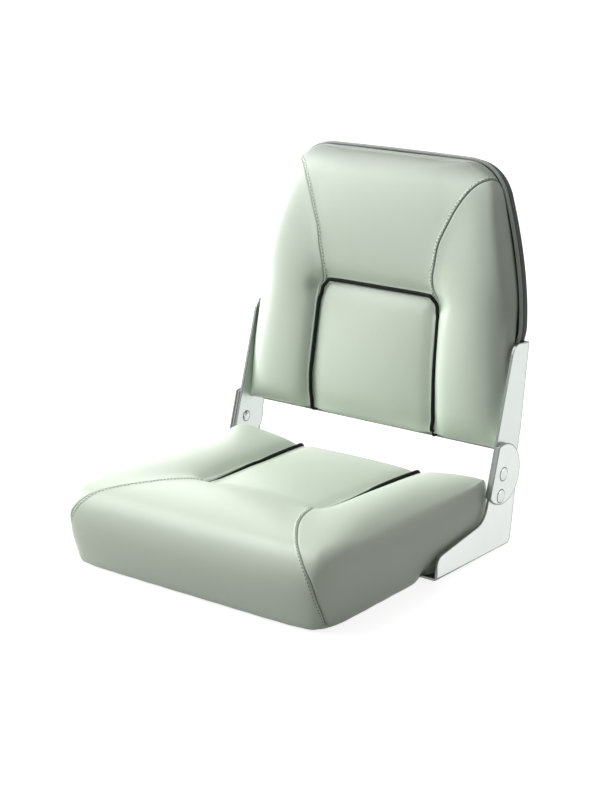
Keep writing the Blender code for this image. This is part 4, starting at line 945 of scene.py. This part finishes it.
# Finishes
class Value:
    """A socket on which plain arithmetic adds Math nodes."""

    def __init__(self, nodes, socket):
        self.nodes = nodes
        self.socket = socket

    def maths(self, operation, first, second):
        return self.nodes.add("ShaderNodeMath", {"operation": operation}, {0: first, 1: second})

    def __add__(self, other):
        return self.maths("ADD", self, other)

    def __sub__(self, other):
        return self.maths("SUBTRACT", self, other)

    def __rsub__(self, other):
        return self.maths("SUBTRACT", other, self)

    def __mul__(self, other):
        return self.maths("MULTIPLY", self, other)

    def __truediv__(self, other):
        return self.maths("DIVIDE", self, other)

    def __pow__(self, other):
        return self.maths("POWER", self, other)

    def __abs__(self):
        return self.maths("ABSOLUTE", self, 0.0)

    __radd__ = __add__
    __rmul__ = __mul__

    def ramp(self, low, high):
        """0 below low and 1 above high, with a soft change between them."""
        return self.nodes.add("ShaderNodeMapRange", {"interpolation_type": "SMOOTHSTEP"},
                              {0: self, 1: low, 2: high, 3: 0.0, 4: 1.0})


class Nodes:
    """A node tree, to which nodes are added with their settings and inputs."""

    def __init__(self, tree):
        self.tree = tree

    def add(self, kind, settings, inputs, output=0):
        """A node with its settings made first and then its inputs, as one of its outputs."""
        node = self.tree.nodes.new(kind)
        for key, value in settings.items():
            setattr(node, key, value)
        for key, value in inputs.items():
            self.join(value, node.inputs[key])
        return Value(self, node.outputs[output])

    def join(self, value, socket):
        if isinstance(value, Value):
            self.tree.links.new(value.socket, socket)
        else:
            socket.default_value = value

    def seen(self):
        """1 or more for what the camera sees, straight or by metal or glass, and 0 otherwise."""
        kinds = ("Is Camera Ray", "Is Glossy Ray", "Is Transmission Ray")
        camera, glossy, through = (self.add("ShaderNodeLightPath", {}, {}, kind) for kind in kinds)
        return camera + glossy + through


class Finish(Nodes):
    """One material and its nodes."""

    def __init__(self, name, roughness, metallic=0.0):
        self.material = bpy.data.materials.new(name)
        self.material.use_nodes = True
        super().__init__(self.material.node_tree)
        self.shader = self.tree.nodes["Principled BSDF"]
        self.set("Roughness", roughness)
        self.set("Metallic", metallic)
        self.place = self.add("ShaderNodeTexCoord", {}, {}, "Object")
        self.facing = self.add("ShaderNodeTexCoord", {}, {}, "Normal")

    def set(self, name, value):
        self.join(value, self.shader.inputs[name])

    def blend(self, factor, first, second):
        first, second = (self.colour(item) for item in (first, second))
        return self.add("ShaderNodeMix", {"data_type": "RGBA"}, {0: factor, 6: first, 7: second}, 2)

    def colour(self, item):
        return item if isinstance(item, Value) else (*item, 1.0)

    def noise(self, scale, detail):
        return self.add("ShaderNodeTexNoise", {},
                        {"Vector": self.place, "Scale": scale, "Detail": detail})

    def stretched(self, scales):
        return self.add("ShaderNodeMapping", {}, {"Vector": self.place, "Scale": scales})

    def attribute(self, name):
        return self.add("ShaderNodeAttribute", {"attribute_name": name}, {}, "Fac")

    def part(self, vector, axis):
        return self.add("ShaderNodeSeparateXYZ", {}, {0: vector}, axis)

    def bump(self, height, distance, strength=1.0):
        normal = self.add("ShaderNodeBump", {}, {"Height": height, "Distance": distance,
                                                 "Strength": strength})
        self.set("Normal", normal)


def scaled(colour, share):
    return tuple(part * share for part in colour)


def vinyl_grain(finish):
    """Fine leather-like pebbles with soft valleys between them."""
    wobble = finish.noise(GRAIN_SCALE * 0.4, 1.0)
    pebbles = finish.add("ShaderNodeTexVoronoi", {"feature": "SMOOTH_F1"},
                         {"Vector": finish.place, "Scale": GRAIN_SCALE, "Smoothness": 0.6})
    return pebbles * 0.7 + wobble * 0.5


def vinyl(name, colour, shade, seams=True, roughness=0.42, painted_side_and_top_shade=False, shine=0.5):
    """Sewn marine vinyl, a little darker and duller in its seams, with dust and painted shade beside
    them, at the rim's tuck and in dark dents, and if asked, painted shade on its right side and
    towards its top.
    """
    finish = Finish(name, roughness)
    finish.set("Specular IOR Level", shine)
    patches = finish.noise(14.0, 3.0)
    mottle = finish.noise(220.0, 2.0)
    body = finish.blend(patches * 0.5 + mottle * 0.25, colour, shade)
    if painted_side_and_top_shade:
        # painted shade: darker on faces turned to the right, and towards the top
        side = finish.part(finish.facing, 0).ramp(0.30, 0.90)
        high = finish.part(finish.place, 2).ramp(*TOP_PAINTED_SHADE_HEIGHTS)
        body = finish.blend(side * SIDE_PAINTED_SHADE, body, scaled(shade, 0.15))
        body = finish.blend(high * TOP_PAINTED_SHADE, body, scaled(shade, 0.15))
    if seams:
        # dark seam lines, painted shade at the rim's tuck and in dark dents, and dust and painted
        # shade beside the seams
        line = 1 - finish.attribute("seam").ramp(*SEAM_AND_SHADE_LINE_WIDTHS)
        dust_and_shade = 1 - finish.attribute("seam").ramp(*SEAM_DUST_AND_SHADE_WIDTHS)
        body = finish.blend(dust_and_shade * 0.10, body, scaled(shade, 0.55))
        body = finish.blend(line * 0.75, body, scaled(shade, 0.15))
    finish.set("Base Color", body)
    grain = vinyl_grain(finish)
    finish.set("Roughness", patches * 0.08 + grain * 0.06 + (roughness - 0.07))
    finish.bump(grain, GRAIN_DEPTH, 0.35)
    return finish.material


def piping_vinyl(name, colour, shade):
    """Smooth vinyl pulled round a cord, with faint wraps."""
    finish = Finish(name, PIPING_ROUGHNESS)
    patches = finish.noise(60.0, 3.0)
    finish.set("Base Color", finish.blend(patches, colour, shade))
    finish.set("Specular IOR Level", PIPING_SHINE)
    fine = finish.noise(1500.0, 2.0)
    finish.set("Roughness", fine * 0.1 + (PIPING_ROUGHNESS - 0.05))
    finish.bump(fine, FINE_DEPTH, 0.3)
    return finish.material


def thread(name, colour):
    finish = Finish(name, 0.6)
    strands = finish.noise(3000.0, 1.0)
    finish.set("Base Color", finish.blend(strands, colour, scaled(colour, 0.6)))
    finish.bump(strands, FINE_DEPTH, 0.4)
    return finish.material


def aluminium(name, colour, roughness, rivet_radius=0.0):
    """Satin anodised sheet: fine grain, with painted shade on its cut edges, along its edges and
    round each rivet.
    """
    finish = Finish(name, roughness, 1.0)
    grain = finish.add("ShaderNodeTexNoise", {},
                       {"Vector": finish.stretched((1.0, 1.0, 0.12)), "Scale": 1800.0,
                        "Detail": 2.0})
    cloud = finish.noise(30.0, 3.0)
    body = finish.blend(cloud * 0.6, colour, scaled(colour, 0.93))
    # painted shade on the cut edges, along the edges and round the rivets
    flat = abs(finish.part(finish.facing, 0)).ramp(0.30, 0.80)
    body = finish.blend(flat, scaled(colour, CUT_EDGE_SHADE_SHARE), body)
    rounded = finish.add("ShaderNodeBevel", {"samples": 6}, {"Radius": EDGE_SHADE_WIDTH})
    edge = 1 - abs(finish.part(rounded, 0)).ramp(0.972, 0.9998)
    body = finish.blend(edge * flat * 0.95, body, EDGE_PAINTED_SHADE)
    across, height = finish.part(finish.place, 1), finish.part(finish.place, 2)
    for y, z in RIVETS if rivet_radius else ():
        reach = ((across - y) ** 2 + (height - z) ** 2) ** 0.5
        ring = (1 - reach.ramp(*(rivet_radius + width for width in RIVET_SHADE_WIDTHS))) * flat
        body = finish.blend(ring * 0.9, body, EDGE_PAINTED_SHADE)
    finish.set("Base Color", body)
    finish.set("Roughness", grain * 0.10 + cloud * 0.06 + (roughness - 0.08))
    finish.bump(grain, METAL_DEPTH, 0.25)
    return finish.material


def turned_metal(name, colour, roughness):
    """Turned metal, with painted shade round the rim of each head."""
    finish = Finish(name, roughness, 1.0)
    grain = finish.noise(1400.0, 2.0)
    cloud = finish.noise(120.0, 2.0)
    body = finish.blend(cloud, colour, scaled(colour, 0.86))
    # painted shade round the head's rim
    rim = 1 - abs(finish.part(finish.facing, 0)).ramp(0.35, 0.85)
    finish.set("Base Color", finish.blend(rim * 0.8, body, scaled(colour, 0.2)))
    finish.set("Roughness", grain * 0.12 + (roughness - 0.06))
    finish.bump(grain, TURNED_DEPTH, 0.25)
    return finish.material


def plywood(name):
    """Sealed plywood: long grain across the seat, with finer pores."""
    finish = Finish(name, 0.62)
    bands = finish.add("ShaderNodeTexNoise", {},
                       {"Vector": finish.stretched((3.0, 28.0, 28.0)), "Scale": 1.0, "Detail": 4.0})
    pores = finish.add("ShaderNodeTexNoise", {},
                       {"Vector": finish.stretched((60.0, 900.0, 900.0)), "Scale": 1.0,
                        "Detail": 2.0})
    body = finish.blend(bands.ramp(0.3, 0.7), (0.42, 0.27, 0.14), (0.56, 0.40, 0.23))
    body = finish.blend(pores.ramp(0.55, 0.75) * 0.4, body, (0.25, 0.15, 0.08))
    finish.set("Base Color", body)
    finish.set("Roughness", pores * 0.2 + 0.5)
    finish.bump(pores, FINE_DEPTH, 0.3)
    return finish.material


def nylon(name):
    finish = Finish(name, 0.5)
    cloud = finish.noise(80.0, 2.0)
    finish.set("Base Color", finish.blend(cloud, (0.72, 0.72, 0.68), (0.62, 0.62, 0.58)))
    finish.set("Roughness", cloud * 0.2 + 0.4)
    return finish.material


SEAT_VINYL = vinyl("seat_vinyl_grain", (0.655, 0.735, 0.620), (0.605, 0.685, 0.570))
BACK_VINYL = vinyl("back_vinyl_grain", (0.670, 0.750, 0.645), (0.620, 0.700, 0.595), painted_side_and_top_shade=True)
REAR_VINYL = vinyl("rear_vinyl_grain", (0.065, 0.075, 0.066), (0.052, 0.060, 0.053), seams=False,
                   roughness=0.5, shine=REAR_SHINE)
DARK_PIPING = piping_vinyl("dark_piping_vinyl", (0.005, 0.009, 0.006), (0.008, 0.013, 0.009))
LIGHT_PIPING = piping_vinyl("light_piping_vinyl", (0.43, 0.47, 0.43), (0.37, 0.41, 0.37))
THREAD = thread("stitching_thread", (0.06, 0.07, 0.06))
# a paler copy of the same thread, for the lit left nose seam: painted light
LIT_SIDE_THREAD = thread("lit_side_stitching_thread", (0.30, 0.33, 0.30))
# One anodised aluminium in three brightnesses, as painted light and shade: darker on the upper arms,
# lighter on the cheeks and feet
SHEET_METAL = aluminium("anodised_sheet", (0.66, 0.71, 0.68), 0.34, TAIL_RADIUS)
FOOT_METAL = aluminium("anodised_foot", (0.76, 0.80, 0.77), 0.34)
CHEEK_METAL = aluminium("anodised_cheek", (0.72, 0.77, 0.73), 0.34, HEAD_RADIUS)
RIVET_METAL = turned_metal("rivet_aluminium", (0.74, 0.77, 0.74), 0.30)
SCREW_METAL = turned_metal("screw_steel", (0.62, 0.63, 0.63), 0.30)
BOARD_WOOD = plywood("board_plywood")
BUSH_NYLON = nylon("bush_nylon_plain")


# Seat pad
def seat_piping_spots(side):
    """A seat piping's seam: along the top, over the rear edge and down the rear."""
    marks = np.linspace(SEAT_CROSS_SEAM_Y, SEAT_REAR_Y - SEAT_REAR_INSET, SEAT_SEAM_MARKS)
    along = [(side * seat_seam_x(y), y, SEAT_SEAM_TOP_Z) for y in marks]
    return along + [(side * SEAT_SEAM_REAR_X, y, z) for y, z in SEAT_REAR_SEAM]


def base_ring():
    """Points round the seat's lower edge."""
    depths = np.linspace(SEAT_BASE_FRONT_Y, SEAT_BASE_REAR_Y, BASE_RING_STEPS)
    widths = np.linspace(-SEAT_BASE_HALF_WIDTH, SEAT_BASE_HALF_WIDTH, BASE_RING_STEPS)
    ring = [(side * SEAT_BASE_HALF_WIDTH, y) for side in (1, -1) for y in depths]
    ring += [(x, y) for y in (SEAT_BASE_FRONT_Y, SEAT_BASE_REAR_Y) for x in widths]
    return [(x, y, SEAT_BOTTOM_Z) for x, y in ring]


seat_pad = seat_form()
surface = surface_of(seat_pad)
seat_piping_lines = {name: laid_on(surface, seat_piping_spots(side))
                     for name, side in (("left", -1), ("right", 1))}
cross_marks = np.linspace(-CROSS_SEAM_HALF_WIDTH, CROSS_SEAM_HALF_WIDTH, CROSS_SEAM_MARKS)
cross_line = laid_on(surface, [(x, SEAT_CROSS_SEAM_Y, CROSS_SEAM_Z) for x in cross_marks])
nose_lines = {"left": laid_on(surface, mirrored(NOSE_SEAM)), "right": laid_on(surface, NOSE_SEAM)}
seat_lines = [cross_line, *nose_lines.values(), *seat_piping_lines.values()]
swell(seat_pad, seat_lines + [base_ring()], lambda points: points[:, 1] > SEAT_ARM_FRONT_Y)
refined(seat_pad, seat_lines)
surface = surface_of(seat_pad)
nose_lines = {name: relaid(surface, line) for name, line in nose_lines.items()}
cross_line = relaid(surface, cross_line)
# the toe dents get painted shade
toe_dents = [(Vector((side * TOE_DENT[0], *TOE_DENT[1:])), TOE_DENT_DEPTH, TOE_DENT_REACH, True)
             for side in (-1, 1)]
sew(seat_pad, [(nose_lines["left"], 1, LIT_SIDE_LINE_OFFSET), (nose_lines["right"], -1, 0.0)],
    [cross_line], list(seat_piping_lines.values()), dents=toe_dents)
seat_pad.data.materials.append(SEAT_VINYL)
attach(seat_pad, "seat_base")
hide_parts("seat_cushion")

surface = surface_of(seat_pad)
for name, side in (("left", 1), ("right", -1)):
    row = stitches("nose_stitches_" + name, seat_pad, nose_lines[name], side * STITCH_OFFSET,
                   THREAD if name == "right" else LIT_SIDE_THREAD)
    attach(row, "seat_base")
    path = piping_path(surface, seat_piping_lines[name], seat_piping_share)
    cord = cord_mesh("seat_cord_" + name, path, PIPING_RADIUS, DARK_PIPING)
    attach(cord, "seat_base")
    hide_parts("seat_piping_" + name)


# Back pad
def panel_spots():
    """The centre panel's seam: from under the lower edge, round the panel and under it again."""
    high = BACK_PANEL_TOP_Z - BACK_PANEL_CORNER
    turn_x = panel_x(high) - BACK_PANEL_CORNER
    half = [(panel_x(z), z) for z in np.linspace(BACK_BOTTOM_Z + PANEL_SEAM_RISE, high, 33)]
    half += [(turn_x + BACK_PANEL_CORNER * cos(angle), high + BACK_PANEL_CORNER * sin(angle))
             for angle in np.linspace(0, pi / 2, 7)[1:]]
    half += [(x, BACK_PANEL_TOP_Z) for x in np.linspace(turn_x, 0, 16)[1:-1]]
    points = half + [(0.0, BACK_PANEL_TOP_Z)] + [(-x, z) for x, z in reversed(half)]
    front = [BACK_FRAME @ Vector((x, BACK_PIPING_Y - back_depth(x, z), z)) for x, z in points]
    under = [BACK_FRAME @ Vector((panel_x(0), BACK_PIPING_Y - depth, BACK_BOTTOM_Z))
             for depth in PANEL_UNDER_DEPTHS]
    return under + front + [Vector((-x, y, z)) for x, y, z in reversed(under)]


back_pad = back_form()
surface = surface_of(back_pad)
panel_line = laid_on(surface, panel_spots())
head_lines = {"left": laid_on(surface, mirrored(HEAD_SEAM)), "right": laid_on(surface, HEAD_SEAM)}
rim_points = smooth_path([(x, BACK_PIPING_Y, z) for x, z in back_outline()], CORD_STEP, True)
rim_line = [BACK_FRAME @ point for point in rim_points]
back_lines = [panel_line, *head_lines.values()]
swell(back_pad, back_lines + [rim_line], lambda points: points[:, 2] < BACK_ARM_TOP_Z)
refined(back_pad, back_lines)
surface = surface_of(back_pad)
head_lines = {name: relaid(surface, line) for name, line in head_lines.items()}
corner_dents = [(head_lines[name][0] + Vector((side * CORNER_DENT_OUT, 0, -CORNER_DENT_DOWN)),
                 CORNER_DENT_DEPTH, CORNER_DENT_REACH, False)
                for name, side in (("left", -1), ("right", 1))]
sew(back_pad, [(head_lines["left"], -1, LIT_SIDE_LINE_OFFSET / 2), (head_lines["right"], 1, 0.0)], [],
    [panel_line], rim_line, corner_dents)
back_pad.data.materials.append(BACK_VINYL)
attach(back_pad, "back")
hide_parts("back_cushion")

surface = surface_of(back_pad)
for name, side in (("left", -1), ("right", 1)):
    row = stitches("head_stitches_" + name, back_pad, head_lines[name], side * STITCH_OFFSET, THREAD)
    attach(row, "back")
path = piping_path(surface, panel_line, panel_piping_share)
cord = cord_mesh("back_panel_cord", path, PIPING_RADIUS, DARK_PIPING)
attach(cord, "back")
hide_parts("back_centre_piping")
cord = cord_mesh("back_rim_cord", rim_line, PIPING_RADIUS, LIGHT_PIPING, True)
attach(cord, "back")
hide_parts("back_perimeter_piping")


# Rear cover
def rear_cover():
    """A thin padded shell over the back's board, with a rounded rear edge and a slight crown."""
    front = BACK_PIPING_Y + TOUCH_GAP
    rear = BACK_PIPING_Y + BACK_BAND_DEPTH
    middle = Vector((0, (BACK_BOTTOM_Z + BACK_TOP_Z) / 2))
    outline = [(point.x, point.z) for point in rim_points]
    bm = bmesh.new()
    bmesh.ops.create_circle(bm, segments=len(outline), radius=1.0)
    bm.verts.ensure_lookup_table()
    ring = list(bm.verts)
    inner = BACK_BOARD_INSET - TOUCH_GAP
    pocket = front + BACK_BOARD_THICKNESS + TOUCH_GAP

    def drawn_in(x, z, inset):
        reach = (Vector((x, z)) - middle).length
        return middle + (Vector((x, z)) - middle) * (1 - inset / reach)

    steps = [(COVER_INNER_REACH, pocket), (inner, pocket), (inner, front), (0.0, front),
             (0.0, front + COVER_EDGE), (0.0, rear - COVER_ROUND),
             (COVER_ROUND_MIDDLE, rear - COVER_ROUND_MIDDLE), (COVER_ROUND, rear)]
    steps += [(inset, rear + rise) for inset, rise in COVER_CROWN]
    for number, (inset, depth) in enumerate(steps):
        if number:
            order = {vert: index for index, vert in enumerate(ring)}
            edges = [edge for edge in bm.edges if all(vert in order for vert in edge.verts)]
            grown = bmesh.ops.extrude_edge_only(bm, edges=edges)["geom"]
            fresh = {}
            for vert in (item for item in grown if isinstance(item, bmesh.types.BMVert)):
                others = (edge.other_vert(vert) for edge in vert.link_edges)
                fresh.update({order[other]: vert for other in others if other in order})
            ring = [fresh[index] for index in range(len(outline))]
        for vert, (x, z) in zip(ring, outline):
            spot = drawn_in(x, z, inset)
            vert.co = (spot.x, depth, spot.y)
    bmesh.ops.holes_fill(bm, edges=rim_of(bm), sides=0)
    bmesh.ops.transform(bm, matrix=BACK_FRAME, verts=bm.verts)
    bmesh.ops.recalc_face_normals(bm, faces=bm.faces)
    return bm


cover = new_object("rear_cover", mesh_from(rear_cover(), "rear_cover"), REAR_VINYL)
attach(cover, "back")
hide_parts("back_rear_cover")


# Hard parts from the solid model, by a word in their names: a finish and a bevel
HARD_PARTS = (("arm_screw", SCREW_METAL, 0.0), ("tee_nut", SCREW_METAL, 0.0),
              ("rivet", RIVET_METAL, 0.0), ("lower_arm", FOOT_METAL, PLATE_BEVEL),
              ("arm", SHEET_METAL, PLATE_BEVEL), ("cheek", CHEEK_METAL, CHEEK_BEVEL),
              ("bush", BUSH_NYLON, 0.0), ("board", BOARD_WOOD, PLATE_BEVEL))


def dress(name, material, bevel):
    """A better finish on a node, and softened edges."""
    item = nodes[name]
    item.data.materials.clear()
    item.data.materials.append(material)
    if not bevel:
        return
    weld = item.modifiers.new("weld", "WELD")
    weld.merge_threshold = WELD_REACH
    edge = item.modifiers.new("edge", "BEVEL")
    edge.width = bevel
    edge.segments = BEVEL_SEGMENTS
    edge.limit_method = "ANGLE"
    edge.angle_limit = BEVEL_ANGLE
    edge.harden_normals = True


for name in nodes:
    for word, material, bevel in HARD_PARTS:
        if word in name:
            dress(name, material, bevel)
            break


# Stage
def stage_floor():
    bm = bmesh.new()
    bmesh.ops.create_circle(bm, cap_ends=True, segments=64, radius=FLOOR_RADIUS,
                            matrix=Matrix.Translation((0, 0, FLOOR_Z)))
    floor = new_object("floor", mesh_from(bm, "floor"))
    finish = Finish("pale_floor", 0.9)
    finish.set("Base Color", (*FLOOR_COLOUR, 1.0))
    plain = Value(finish, finish.shader.outputs[0])
    across, along = finish.part(finish.place, 0), finish.part(finish.place, 1)
    away = (across * across + along * along) ** 0.5
    strength = away.ramp(*FLOOR_FADE) * FLOOR_FAR_GLOW + FLOOR_GLOW
    glow = finish.add("ShaderNodeEmission", {}, {"Strength": strength})
    bright = finish.add("ShaderNodeAddShader", {}, {0: plain, 1: glow})
    shown = finish.add("ShaderNodeMixShader", {}, {0: finish.seen(), 1: plain, 2: bright})
    output = finish.tree.nodes["Material Output"]
    finish.join(shown, output.inputs["Surface"])
    floor.data.materials.append(finish.material)


def studio_light(name, azimuth, height, power):
    """A round soft light, aimed at the seat, at an angle from straight in front and above."""
    lamp = bpy.data.lights.new(name, "AREA")
    lamp.shape = "DISK"
    lamp.size = LAMP_SIZE
    lamp.energy = power
    item = bpy.data.objects.new(name, lamp)
    bpy.context.scene.collection.objects.link(item)
    towards = Vector((sin(azimuth) * cos(height), -cos(azimuth) * cos(height), sin(height)))
    item.location = Vector(LAMP_AIM) + towards * LAMP_DISTANCE
    item.rotation_mode = "QUATERNION"
    item.rotation_quaternion = (-towards).to_track_quat("-Z", "Y")


def white_world():
    """White where the camera, metal or glass sees it, and plain ambient light elsewhere."""
    world = bpy.data.worlds.new("studio")
    bpy.context.scene.world = world
    world.use_nodes = True
    lit = Nodes(world.node_tree)
    background = lit.tree.nodes["Background"]
    background.inputs["Color"].default_value = (1, 1, 1, 1)
    level = lit.add("ShaderNodeMapRange", {}, {0: lit.seen(), 3: AMBIENT, 4: 1.0})
    lit.join(level, background.inputs["Strength"])


def add_camera():
    data = bpy.data.cameras.new("camera")
    data.sensor_fit = "VERTICAL"
    data.sensor_height = SENSOR
    data.lens = SENSOR * FOCAL_PIXELS / FRAME_HEIGHT
    data.shift_x = SHIFT_X
    data.shift_y = SHIFT_Y
    item = bpy.data.objects.new("camera", data)
    bpy.context.scene.collection.objects.link(item)
    right = Vector((cos(CAMERA_AZIMUTH), sin(CAMERA_AZIMUTH), 0))
    back = Vector((sin(CAMERA_AZIMUTH) * cos(CAMERA_ELEVATION),
                   -cos(CAMERA_AZIMUTH) * cos(CAMERA_ELEVATION), sin(CAMERA_ELEVATION)))
    turn = Matrix((right, back.cross(right), back)).transposed()
    item.matrix_world = Matrix.Translation(CAMERA_PLACE) @ turn.to_4x4()
    bpy.context.scene.camera = item


stage_floor()
white_world()
for name, azimuth, height, power in LAMPS:
    studio_light(name, radians(azimuth), radians(height), power)
add_camera()
bpy.context.scene.view_settings.view_transform = "Standard"
